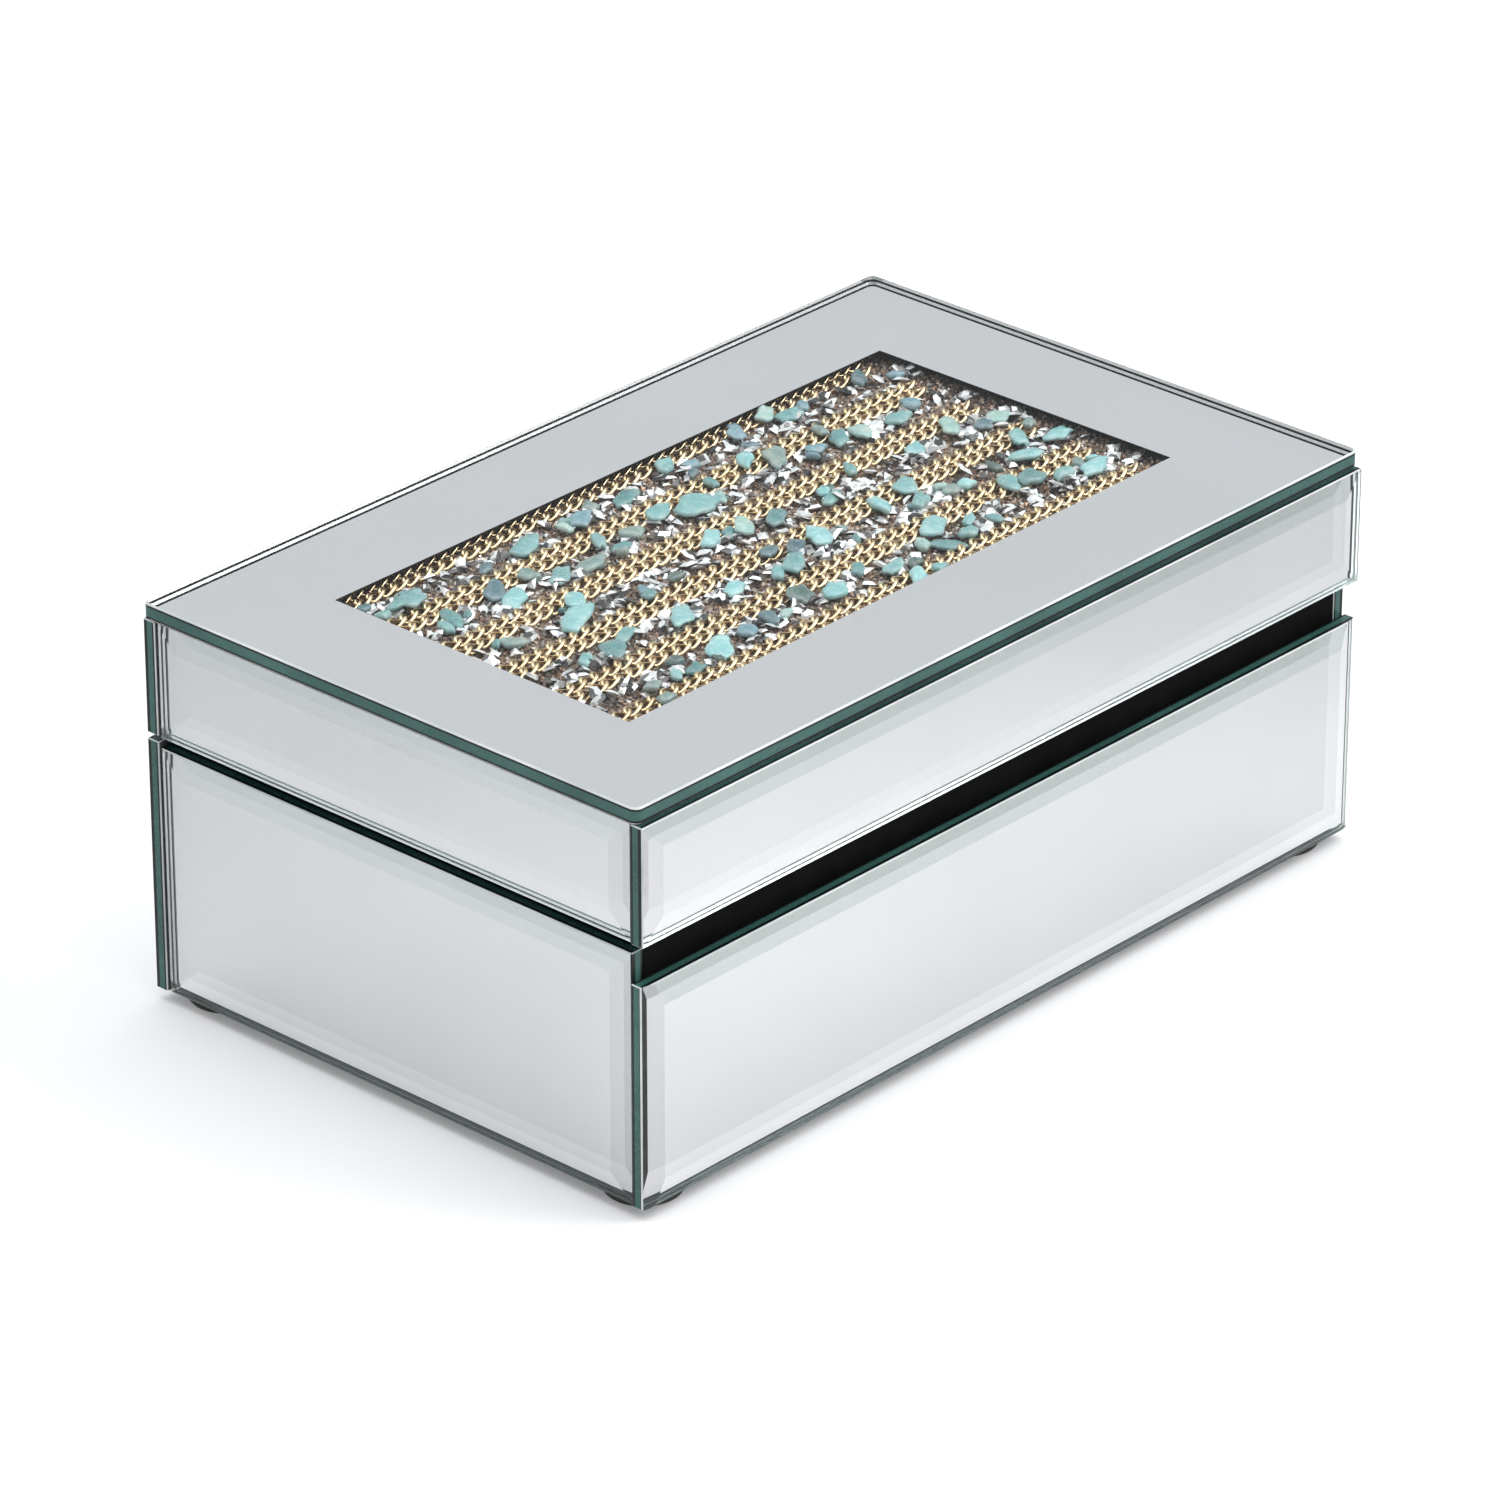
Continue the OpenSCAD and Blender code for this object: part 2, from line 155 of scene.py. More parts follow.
# Crystals: sizes and lifts in mm, heights as shares of the size, and the rings' radii as shares of the size
CRYSTALS_PER_STRIP = 190
FULL_STRIP = 8 * MM
CRYSTAL_SPAN = WELL_W - 6 * MM
CRYSTAL_SIZES = (1.4, 2.6)
CRYSTAL_LIFTS = (0.1, 0.8)
CRYSTAL_SIDES = (3, 3, 4, 4, 5, 6)
CRYSTAL_STRETCHES = (0.65, 1.0)
CRYSTAL_HEIGHTS = (0.32, 0.5)
CRYSTAL_STRAY = 0.12
CRYSTAL_TILT = 0.5
PAVILION = 0.55
GIRDLE_RISE = 0.4
TABLES = (0.35, 0.6)
# Colours of the crystals' facets: painted reflections, white where a facet would mirror something bright and
# dark where it would mirror something dark
CRYSTAL_PAINTED_REFLECTIONS = [
    (0.97, 0.97, 0.98), (0.88, 0.89, 0.90), (0.50, 0.49, 0.49), (0.20, 0.19, 0.19), (0.05, 0.05, 0.05),
]
CRYSTAL_ODDS = (9, 3, 2, 3, 5)

# Chips: (height, radius) levels as shares, how far their outline and faces stray, and how they lie.
# Lengths, lifts and thicknesses in brackets are in mm. Rolls and CHIP_PITCH are in radians.
CHIP_LEVELS = [(-0.5, 0.50), (-0.42, 0.78), (-0.15, 0.98), (0.1, 1.0), (0.34, 0.86), (0.48, 0.55), (0.5, 0.2)]
CHIP_SIDES = 20
CHIP_POWERS = (0.7, 1.1)
CHIP_TAPER = 0.3
CHIP_UNEVEN = 0.45
OUTLINE_WAVES = 1.4
CHIP_SWELL = 0.16
FACE_WAVES = 1.1
NOISE_FIELD = 50
FACE_SLICE = 3
CHIP_PITCH = 0.06
RIM_PALENESS = 0.22
SMALL_CHIPS_PER_STRIP = 5
SMALL_CHIP_LENGTHS = (3, 5)
SMALL_CHIP_SHARES = (0.4, 0.75)
CHIP_SPAN = WELL_W - 8 * MM
CHIP_THICKNESSES = (1.5, 2.2)
CHAIN_REACH = 3.4 * MM
CHAIN_CREST = 2 * MM
ON_CHAIN_LIFT = 1.5
OFF_CHAIN_LIFTS = (0.3, 1.0)
LEANING_ROLL = 0.22
FREE_ROLL = 0.12
CHIP_SHADES = (0.88, 1.1)
PALEST = 0.85
SLIMMEST = 2.0
CEILING = 94.85 * MM

# The larger chips, as they were strewn: middle X and Y about the well's middle, length and width in mm,
# turn in degrees, and tone. A length over SLIMMEST times the width is cut back to that.
CHIPS = [
    (-76.5, 36, 10, 8, 30, "mid"), (-85, 35, 4, 3, 0, "mid"), (-85, 41, 4, 3, 20, "slate"),
    (-53, 35, 6, 3, 30, "slate"), (-38.5, 36.5, 12, 5.5, 30, "mid"), (-26, 36.5, 5.5, 2.5, 80, "pale"),
    (-20.5, 37, 7.5, 5, 35, "blue"), (-14, 40, 5, 3.5, 60, "grey"), (-5, 37.5, 9, 5.5, 15, "teal"),
    (12.5, 41.5, 7, 4, 20, "mid"), (17.5, 38.5, 6, 3, 0, "blue"), (36.5, 42, 12, 4.5, 50, "blue"),
    (34.5, 36, 6, 2.5, -30, "slate"), (48.5, 43.5, 9, 4, 35, "pale"), (52.5, 39.5, 7, 4.5, -5, "mid"),
    (58.5, 41, 5, 3, 50, "blue"), (78, 41, 7, 4, 40, "slate"),
    (-76, 23, 10, 4.5, 70, "teal"), (-80, 21, 6, 3, 80, "mid"), (-60.5, 25, 13, 4.5, 40, "slate"),
    (-59.5, 20, 12, 5.5, 35, "bright"), (-50, 25, 5, 4, 0, "grey"), (-44, 21, 13, 4.5, 33, "mid"),
    (-35.5, 19, 11, 4.5, 5, "grey"), (-27, 25, 8, 3.5, 55, "mid"), (-24.5, 20.5, 15, 3, -2, "teal"),
    (-18.5, 23.5, 6, 5, -40, "grey"), (-6.5, 25.5, 8, 5, 20, "mid"), (3, 22.5, 13, 7.5, -10, "mid"),
    (9, 21.5, 9, 3, 60, "pale"), (12.5, 27.5, 8, 2.5, 75, "teal"), (26.5, 30, 12, 4, 48, "bright"),
    (32.5, 26, 12, 5.5, 45, "grey"), (43.5, 23, 6, 4, 0, "blue"), (50, 28, 11, 3, 72, "grey"),
    (51, 23, 8, 4, 50, "teal"), (57, 21.5, 8, 5.5, 60, "pale"), (69, 20.5, 7.5, 5, 5, "mid"),
    (76.5, 23.5, 5, 4, 0, "blue"),
    (-52, 8.5, 12, 4.5, 50, "bright"), (-57.5, 3, 14, 6.5, 25, "bright"), (-75.5, 5, 7, 4, -45, "grey"),
    (-39, -1.5, 4.5, 3, 20, "teal"), (-9, 8, 9, 4, 28, "bright"), (1, 7, 9, 4.5, 50, "pale"),
    (-3.5, 7.5, 6, 3, 40, "teal"), (9.5, 5, 10, 4.5, 38, "teal"), (26, 3, 9, 3.5, 18, "mid"),
    (27, 6.5, 5, 3, 50, "bright"), (39, 9, 6, 3, 55, "mid"), (58.5, 6.5, 7, 4.5, 45, "bright"),
    (72, 8, 12, 4.5, 45, "pale"), (79, 3.5, 4.5, 4, 0, "slate"), (84.5, 4, 6.5, 5, 0, "pale"),
    (-71, -12.5, 9, 3, 35, "mid"), (-63.5, -13.5, 9, 5.5, 50, "teal"), (-56.5, -10.5, 9, 4, 28, "mid"),
    (-41.5, -13, 12, 5.5, 40, "bright"), (-23.5, -12, 7, 4.5, 15, "bright"), (-11, -14, 7, 3, 40, "mid"),
    (-5, -6, 6, 4, 35, "slate"), (-5, -13.5, 11, 5, 38, "mid"), (0.5, -9, 10, 3.5, 25, "slate"),
    (8.5, -9, 10.5, 6.5, 48, "bright"), (13.5, -15.5, 5, 2, 55, "teal"), (29.5, -8.5, 9.5, 4.5, 70, "bright"),
    (41, -6, 10, 5.5, 25, "mid"), (37.5, -13.5, 9, 4, 30, "mid"), (47, -14.5, 5, 3.5, 0, "grey"),
    (51, -15, 5, 3.5, -10, "bright"), (78, -7.5, 8, 4.5, 45, "mid"), (85.5, -4.5, 4, 3, 30, "grey"),
    (72.5, -15, 8, 7, 0, "bright"), (86, -12.5, 7.5, 6, 10, "bright"),
    (-47, -29.5, 12, 6, 40, "bright"), (-63, -31.5, 7, 3, 55, "mid"), (-58, -32.5, 5.5, 3.5, 20, "teal"),
    (-37, -28.5, 5.5, 4.5, 20, "blue"), (-71.5, -32.5, 5, 4, 0, "grey"), (-29, -28, 8, 4, 65, "slate"),
    (-25, -29, 5, 2.5, 25, "pale"), (-16.5, -26, 6.5, 6, 0, "dark"), (-10, -30, 8, 5.5, 20, "bright"),
    (2, -26, 10, 3, 40, "teal"), (8.5, -31.5, 8, 4, 20, "mid"), (21.5, -28, 8, 3, 55, "pale"),
    (25.5, -31.5, 9, 5, -55, "teal"), (29.5, -24.5, 10, 6, 30, "bright"), (38.5, -27, 8, 3, 30, "mid"),
    (32.5, -32, 6, 4.5, 0, "mid"), (57.5, -22.5, 9, 5, 60, "mid"), (63.5, -24, 7, 5.5, 0, "teal"),
    (70.5, -27.5, 11, 4, 20, "mid"), (78.5, -30.5, 14, 5, 8, "bright"), (77.5, -26, 8, 2.5, 55, "grey"),
    (-74, -39, 5, 3, 0, "grey"), (7.5, -39, 9, 4, 45, "bright"), (14, -40, 4, 3, 0, "mid"),
]
TONES = {
    "bright": (0.36, 0.62, 0.62), "mid": (0.27, 0.48, 0.47), "teal": (0.15, 0.32, 0.32),
    "blue": (0.22, 0.35, 0.41), "slate": (0.11, 0.19, 0.22), "grey": (0.27, 0.34, 0.31),
    "pale": (0.50, 0.64, 0.58), "dark": (0.10, 0.16, 0.14),
}


# ---------- meshes ----------

def add_piece(name, verts, faces, materials, body, replaced=(), face_slots=None, smooth=False):
    """A mesh piece in the model's frame, with its materials, riding on a body."""
    mesh = bpy.data.meshes.new(name)
    mesh.from_pydata([tuple(v) for v in verts], [], faces)
    for mat in materials:
        mesh.materials.append(mat)
    if face_slots is not None:
        mesh.polygons.foreach_set("material_index", face_slots)
    mesh.polygons.foreach_set("use_smooth", [smooth] * len(faces))
    mesh.update()
    piece = bpy.data.objects.new(name, mesh)
    bpy.context.scene.collection.objects.link(piece)
    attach(piece, body)
    if replaced:
        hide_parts(*replaced)
    return piece


def rectangle(half_w, half_d, inset, z, corner=0.0, steps=6):
    """Points of a rectangle about the origin at height z, with round corners if corner is over 0."""
    w, d = half_w - inset, half_d - inset
    r = corner - inset
    if r <= 0:
        return [(-w, -d, z), (w, -d, z), (w, d, z), (-w, d, z)]
    points = []
    for quarter, (cx, cy) in enumerate([(-1, -1), (1, -1), (1, 1), (-1, 1)]):
        for i in range(steps + 1):
            turn = math.radians(180 + 90 * quarter + 90 * i / steps)
            points.append((cx * (w - r) + r * math.cos(turn), cy * (d - r) + r * math.sin(turn), z))
    return points


def stack(rings):
    """A closed solid through rings of points, which all turn the same way, from the back forwards."""
    n = len(rings[0])
    verts = [p for ring in rings for p in ring]
    faces = [list(range(n))[::-1]]
    for level in range(len(rings) - 1):
        a, b = level * n, (level + 1) * n
        for i in range(n):
            j = (i + 1) % n
            faces.append([a + i, a + j, b + j, b + i])
    last = (len(rings) - 1) * n
    faces.append(list(range(last, last + n)))
    return verts, faces


FACINGS = {
    "front": ((1, 0, 0), (0, 0, 1), (0, -1, 0)),
    "back": ((-1, 0, 0), (0, 0, 1), (0, 1, 0)),
    "left": ((0, -1, 0), (0, 0, 1), (-1, 0, 0)),
    "right": ((0, 1, 0), (0, 0, 1), (1, 0, 0)),
    "top": ((1, 0, 0), (0, 1, 0), (0, 0, 1)),
    "down": ((1, 0, 0), (0, -1, 0), (0, 0, -1)),
}


def panel_frame(node, facing):
    """Half width, half height and thickness of a CAD sheet, and the matrix that puts a panel drawn about
    the origin, its back at Z = 0 and its face towards +Z, in the sheet's place."""
    low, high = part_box(node)
    size = high - low
    across, up, out = (Vector(a) for a in FACINGS[facing])
    half_w = abs(size.dot(across)) / 2
    half_h = abs(size.dot(up)) / 2
    thick = abs(size.dot(out))
    centre = (low + high) / 2 - out * thick / 2
    turn = Matrix((across, up, out)).transposed().to_4x4()
    return half_w, half_h, thick, Matrix.Translation(centre) @ turn


def moved(verts, matrix):
    return [matrix @ Vector(v) for v in verts]


def tint_corners(piece, tints):
    """Writes a colour at each corner of each face, which a material reads as its tint."""
    layer = piece.data.attributes.new("tint", "FLOAT_COLOR", "CORNER")
    layer.data.foreach_set("color", tints)


class Heap:
    """Many small loose bodies gathered into one mesh, with a colour at each corner of each face."""

    def __init__(self):
        self.verts, self.faces, self.tints = [], [], []

    def add(self, verts, faces, tints):
        """Adds a body. There is one tint for each of its faces, or one for the whole body."""
        start = len(self.verts)
        self.verts += verts
        self.faces += [[start + i for i in face] for face in faces]
        if not isinstance(tints, list):
            tints = [tints] * len(faces)
        for face, tint in zip(faces, tints):
            self.tints += [*tint, 1.0] * len(face)

    def piece(self, name, material, body, slot, replaced=(), smooth=False):
        made = add_piece(name, self.verts, self.faces, [material], body, replaced, smooth=smooth)
        tint_corners(made, self.tints)


def heading(azimuth, elevation):
    """Unit vector from the object towards a camera at that azimuth and elevation in degrees."""
    a, e = math.radians(azimuth), math.radians(elevation)
    return Vector((math.sin(a) * math.cos(e), -math.cos(a) * math.cos(e), math.sin(e)))


# ---------- materials ----------

def set_stops(ramp, stops):
    """Gives a colour ramp its (position, colour) stops."""
    elements = ramp.color_ramp.elements
    while len(elements) < len(stops):
        elements.new(0.5)
    for element, (position, colour) in zip(elements, stops):
        element.position = position
        element.color = (*colour, 1)


class Shader:
    """A material's node tree, with short calls to add nodes and join them."""

    def __init__(self, name):
        self.material = bpy.data.materials.new(name)
        self.material.use_nodes = True
        self.tree = self.material.node_tree
        self.bsdf = self.tree.nodes["Principled BSDF"]
        self.output = self.tree.nodes["Material Output"]

    def node(self, kind, settings=None, **inputs):
        made = self.tree.nodes.new(kind)
        for key, value in (settings or {}).items():
            setattr(made, key, value)
        for key, value in inputs.items():
            self.feed(made, key.replace("_", " "), value)
        return made

    def feed(self, node, socket, value):
        """Gives a socket a value, or joins it to another socket."""
        target = node.inputs[socket] if isinstance(socket, int) else find_input(node, socket)
        if isinstance(value, bpy.types.NodeSocket):
            self.tree.links.new(value, target)
        else:
            target.default_value = value

    def set(self, **inputs):
        for key, value in inputs.items():
            self.feed(self.bsdf, key.replace("_", " "), value)

    def place(self):
        return self.node("ShaderNodeTexCoord").outputs["Object"]

    def tint(self):
        """The colour that the piece's face corners carry."""
        return self.node("ShaderNodeAttribute", {"attribute_name": "tint"}).outputs["Color"]

    def noise(self, scale, detail=3.0, vector=None):
        """Noise from 0 to 1, with about so many waves in a metre, and so many octaves of detail."""
        return self.node("ShaderNodeTexNoise", Vector=vector or self.place(), Scale=scale, Detail=detail,
                         Roughness=0.55).outputs["Fac"]

    def ramp(self, factor, stops):
        """Colour ramp through (position, colour) stops."""
        made = self.node("ShaderNodeValToRGB", Fac=factor)
        set_stops(made, stops)
        return made.outputs["Color"]

    def between(self, factor, low, high):
        """Factor from 0 to 1, mapped to a number from low to high."""
        return self.node("ShaderNodeMapRange", Value=factor, To_Min=low, To_Max=high).outputs["Result"]

    def bump(self, height, strength, distance):
        """Bumps of a strength from 0 to 1, and of a depth in metres."""
        made = self.node("ShaderNodeBump", Height=height, Strength=strength, Distance=distance)
        return made.outputs["Normal"]

    def mix(self, factor, first, second):
        """The first shader at a factor of 0 and the second at 1."""
        made = self.node("ShaderNodeMixShader")
        for socket, value in enumerate((factor, first, second)):
            self.feed(made, socket, value)
        return made.outputs["Shader"]


def find_input(node, name):
    """The socket in use of that name. A name's case doesn't matter."""
    for socket in node.inputs:
        if socket.name.lower() == name.lower() and socket.enabled:
            return socket
    raise KeyError(name)


def grey(value):
    return (value, value, value)


def silver_material(name, darker, lighter):
    """Silvering: a bright mirror with faint clouds and the slight wave of float glass."""
    s = Shader(name)
    s.set(Metallic=1.0, Base_Color=s.ramp(s.noise(18, 2), [(0.3, darker), (0.7, lighter)]),
          Roughness=s.between(s.noise(60), 0.02, 0.045), Normal=s.bump(s.noise(14, 1), 0.03, 0.0005))
    return s.material


def backing_material():
    """Grey paint over the silvering's back."""
    s = Shader("mirror_backing")
    s.set(Base_Color=s.ramp(s.noise(220), [(0.3, grey(0.045)), (0.7, grey(0.07))]),
          Roughness=s.between(s.noise(90), 0.45, 0.65), Normal=s.bump(s.noise(900), 0.2, 0.0001))
    return s.material


def glass_material(name):
    """Clear float glass, which turns green along its length, and the normal of its slight waves."""
    s = Shader(name)
    wave = s.bump(s.noise(22, 1), 0.02, 0.0003)
    s.set(Roughness=0.0, IOR=GLASS_IOR, Transmission_Weight=1.0, Normal=wave)
    volume = s.node("ShaderNodeVolumeAbsorption", Color=ABSORB_COLOR, Density=ABSORB_DENSITY)
    s.feed(s.output, "Volume", volume.outputs["Volume"])
    return s, wave


def mirror_glass_material():
    """The mirrors' glass, which takes a tint at each face, with painted shade and painted light on the
    bevels.
    """
    s, _ = glass_material("mirror_glass")
    s.set(Base_Color=s.tint())
    return s.material


def plate_glass_material():
    """The top plate's glass, with little gloss of its own. It lets the lamp and the surroundings light what
    is under the window, as if it weren't there."""
    s, wave = glass_material("plate_glass")
    s.set(Base_Color=(1, 1, 1, 1), Specular_Tint=(0, 0, 0, 1))
    path = s.node("ShaderNodeLightPath")
    lighting = s.node("ShaderNodeMath", {"operation": "MAXIMUM"})
    s.feed(lighting, 0, path.outputs["Is Shadow Ray"])
    s.feed(lighting, 1, path.outputs["Is Diffuse Ray"])
    clear = s.node("ShaderNodeBsdfTransparent", Color=LAMP_PASS)
    through = s.node("ShaderNodeBsdfRefraction", Roughness=0.0, IOR=GLASS_IOR, Normal=wave)
    dulled = s.mix(PLATE_DULLING, s.bsdf.outputs["BSDF"], through.outputs["BSDF"])
    s.feed(s.output, "Surface", s.mix(lighting.outputs["Value"], dulled, clear.outputs["BSDF"]))
    return s.material


def edge_material(name, stops, roughness, frost):
    """Ground glass edge. Seen from inside the glass it mirrors what is inside, and lets through what is
    outside. Both are dimmed and tinted by its frost."""
    s = Shader(name)
    s.set(Base_Color=s.ramp(s.noise(40, 4), stops), Roughness=s.between(s.noise(300), *roughness),
          IOR=GLASS_IOR, Specular_IOR_Level=0.25, Normal=s.bump(s.noise(700), 0.12, 0.0001))
    outer = s.node("ShaderNodeBsdfTranslucent", Color=(*frost, 1))
    inner = s.node("ShaderNodeBsdfAnisotropic", Color=(*frost, 1), Roughness=0.2)
    frosted = s.node("ShaderNodeAddShader")
    s.feed(frosted, 0, outer.outputs["BSDF"])
    s.feed(frosted, 1, inner.outputs["BSDF"])
    inside = s.node("ShaderNodeNewGeometry").outputs["Backfacing"]
    s.feed(s.output, "Surface", s.mix(inside, s.bsdf.outputs["BSDF"], frosted.outputs["Shader"]))
    return s.material


def edge_materials(sheet, frost, arris_frost):
    """The edge face, dark green because its light has come a long way; its pale arris, ground glass with a
    painted highlight; and its dark rim, partly the silvering's paint edge and partly painted shade.
    """
    greens = [(0.3, (0.034, 0.098, 0.086)), (0.55, (0.050, 0.135, 0.120)), (0.8, (0.074, 0.178, 0.160))]
    face = edge_material(f"{sheet}_edge", greens, (0.2, 0.34), frost)
    arris = edge_material(f"{sheet}_arris", [(0.3, (0.50, 0.55, 0.54)), (0.7, (0.80, 0.83, 0.82))],
                          (0.3, 0.5), arris_frost)
    rim = edge_material(f"{sheet}_rim", [(0.3, (0.002, 0.005, 0.005)), (0.8, (0.007, 0.015, 0.013))],
                        (0.25, 0.4), (0.05, 0.07, 0.065))
    return [face, arris, rim]


def black_paint_material():
    """Matt black paint rolled on board."""
    s = Shader("black_paint")
    s.set(Base_Color=s.ramp(s.noise(120), [(0.3, grey(0.003)), (0.75, grey(0.006))]),
          Roughness=s.between(s.noise(60), 0.55, 0.7), Specular_IOR_Level=0.04,
          Normal=s.bump(s.noise(1400, 2), 0.25, 0.0001))
    return s.material


def velvet_material():
    """Short black velvet pile over card."""
    s = Shader("black_velvet")
    pile = s.noise(2600, 2)
    drift = s.noise(35, 3)
    s.set(Base_Color=s.ramp(drift, [(0.3, (0.010, 0.010, 0.012)), (0.75, (0.022, 0.022, 0.026))]),
          Roughness=s.between(drift, 0.85, 0.98), Sheen_Weight=0.75, Sheen_Roughness=0.35,
          Sheen_Tint=(0.55, 0.56, 0.62, 1), Normal=s.bump(pile, 0.6, 0.0002))
    return s.material


def rubber_material():
    """Black rubber of the feet, slightly uneven."""
    s = Shader("black_rubber")
    s.set(Base_Color=s.ramp(s.noise(200), [(0.3, grey(0.012)), (0.75, grey(0.024))]),
          Roughness=s.between(s.noise(400), 0.5, 0.72), Normal=s.bump(s.noise(1500), 0.2, 0.0001))
    return s.material


def nickel_material():
    """Nickel-plated sheet with a fine brushed grain along X."""
    s = Shader("nickel_plate")
    mapping = s.node("ShaderNodeMapping", Vector=s.place(), Scale=(60, 2400, 2400))
    grain = s.noise(1.0, 3, vector=mapping.outputs["Vector"])
    plate = s.ramp(s.noise(90), [(0.3, (0.62, 0.61, 0.58)), (0.7, (0.74, 0.73, 0.70))])
    s.set(Metallic=1.0, Base_Color=plate, Roughness=s.between(grain, 0.22, 0.4),
          Normal=s.bump(grain, 0.15, 0.00005))
    return s.material


def hardboard_material():
    """Bare brown board under the decoration."""
    s = Shader("hardboard")
    s.set(Base_Color=s.ramp(s.noise(160, 5), [(0.3, (0.055, 0.035, 0.025)), (0.7, (0.12, 0.08, 0.055))]),
          Roughness=s.between(s.noise(200), 0.7, 0.9), Normal=s.bump(s.noise(800), 0.4, 0.0002))
    return s.material


def gold_material():
    """Pale gold plate, warmer where it has rubbed less."""
    s = Shader("pale_gold")
    plate = s.ramp(s.noise(240), [(0.3, (0.64, 0.48, 0.28)), (0.7, (0.84, 0.69, 0.45))])
    s.set(Metallic=1.0, Base_Color=plate, Roughness=s.between(s.noise(900), 0.14, 0.30),
          Normal=s.bump(s.noise(1500), 0.1, 0.00005))
    return s.material


def tinted_material(name, clouds, roughness, bump, **settings):
    """Material that takes its colour from the piece's tint. The clouds are (scale, darkest colour), and the
    bump is (scale, strength, depth)."""
    s = Shader(name)
    scale, darkest = clouds
    factor, first, second, colour = 0, 6, 7, 2
    mixed = s.node("ShaderNodeMix", {"data_type": "RGBA", "blend_type": "MULTIPLY"})
    s.feed(mixed, factor, 1.0)
    s.feed(mixed, first, s.tint())
    s.feed(mixed, second, s.ramp(s.noise(scale, 4), [(0.35, darkest), (0.65, grey(1.0))]))
    s.set(Base_Color=mixed.outputs[colour], Roughness=s.between(s.noise(scale * 2), *roughness),
          Normal=s.bump(s.noise(bump[0]), *bump[1:]), **settings)
    return s.material


def floor_material():
    """Pale light table with painted shade: its grey is darker to the left and right of the view than in the
    middle, as if the light fell off there. It glows near the middle, a painted fill of light, so that the box
    throws hardly any shadow."""
    s = Shader("studio_floor")
    aside = s.node("ShaderNodeVectorMath", {"operation": "DOT_PRODUCT"})
    s.feed(aside, 0, s.place())
    s.feed(aside, 1, heading(VIEW_AZIMUTH + 90, 0))
    spread = s.node("ShaderNodeMath", {"operation": "ABSOLUTE"})
    s.feed(spread, 0, aside.outputs["Value"])
    fall = s.node("ShaderNodeMapRange", Value=spread.outputs["Value"], From_Min=0.0, From_Max=FLOOR_SPREAD)
    away = s.node("ShaderNodeVectorMath", {"operation": "LENGTH"})
    s.feed(away, 0, s.place())
    near = s.node("ShaderNodeMapRange", {"interpolation_type": "SMOOTHSTEP"}, Value=away.outputs["Value"],
                  From_Min=GLOW_REACH[0], From_Max=GLOW_REACH[1], To_Min=GLOW_STRENGTH, To_Max=0.0)
    s.set(Base_Color=s.ramp(fall.outputs["Result"], [(share, grey(value)) for share, value in FLOOR_PAINTED_FALLOFF]),
          Roughness=s.between(s.noise(3), 0.88, 0.92), Specular_IOR_Level=0.1,
          Emission_Color=(0.97, 0.98, 1.0, 1), Emission_Strength=near.outputs["Result"])
    return s.material


# ---------- glass and silvering ----------

# Material slots of a clear sheet, where WORKED is an arris, and of its silvering
GLASS, EDGE, WORKED, RIM = range(4)
SILVER, BACKING = range(2)


def slice_off(bm, point, normal, slot):
    """Cuts away what lies beyond a plane, and closes the cut with a face of a material slot."""
    parts = bm.verts[:] + bm.edges[:] + bm.faces[:]
    cut = bmesh.ops.bisect_plane(bm, geom=parts, dist=CUT_WELD, plane_co=point, plane_no=normal,
                                 clear_outer=True)
    rim = [part for part in cut["geom_cut"] if isinstance(part, bmesh.types.BMEdge)]
    for face in bmesh.ops.contextual_create(bm, geom=rim)["faces"]:
        face.material_index = slot


def draw_rim(bm, height, below):
    """Parts the edge faces at a height, and makes what is below it, or above it, a dark rim."""
    edge_faces = [face for face in bm.faces if face.material_index == EDGE]
    parts = set(edge_faces)
    for face in edge_faces:
        parts.update(face.verts)
        parts.update(face.edges)
    bmesh.ops.bisect_plane(bm, geom=list(parts), dist=CUT_WELD, plane_co=(0, 0, height), plane_no=(0, 0, 1))
    for face in bm.faces:
        if face.material_index == EDGE and (face.calc_center_median().z < height) == below:
            face.material_index = RIM


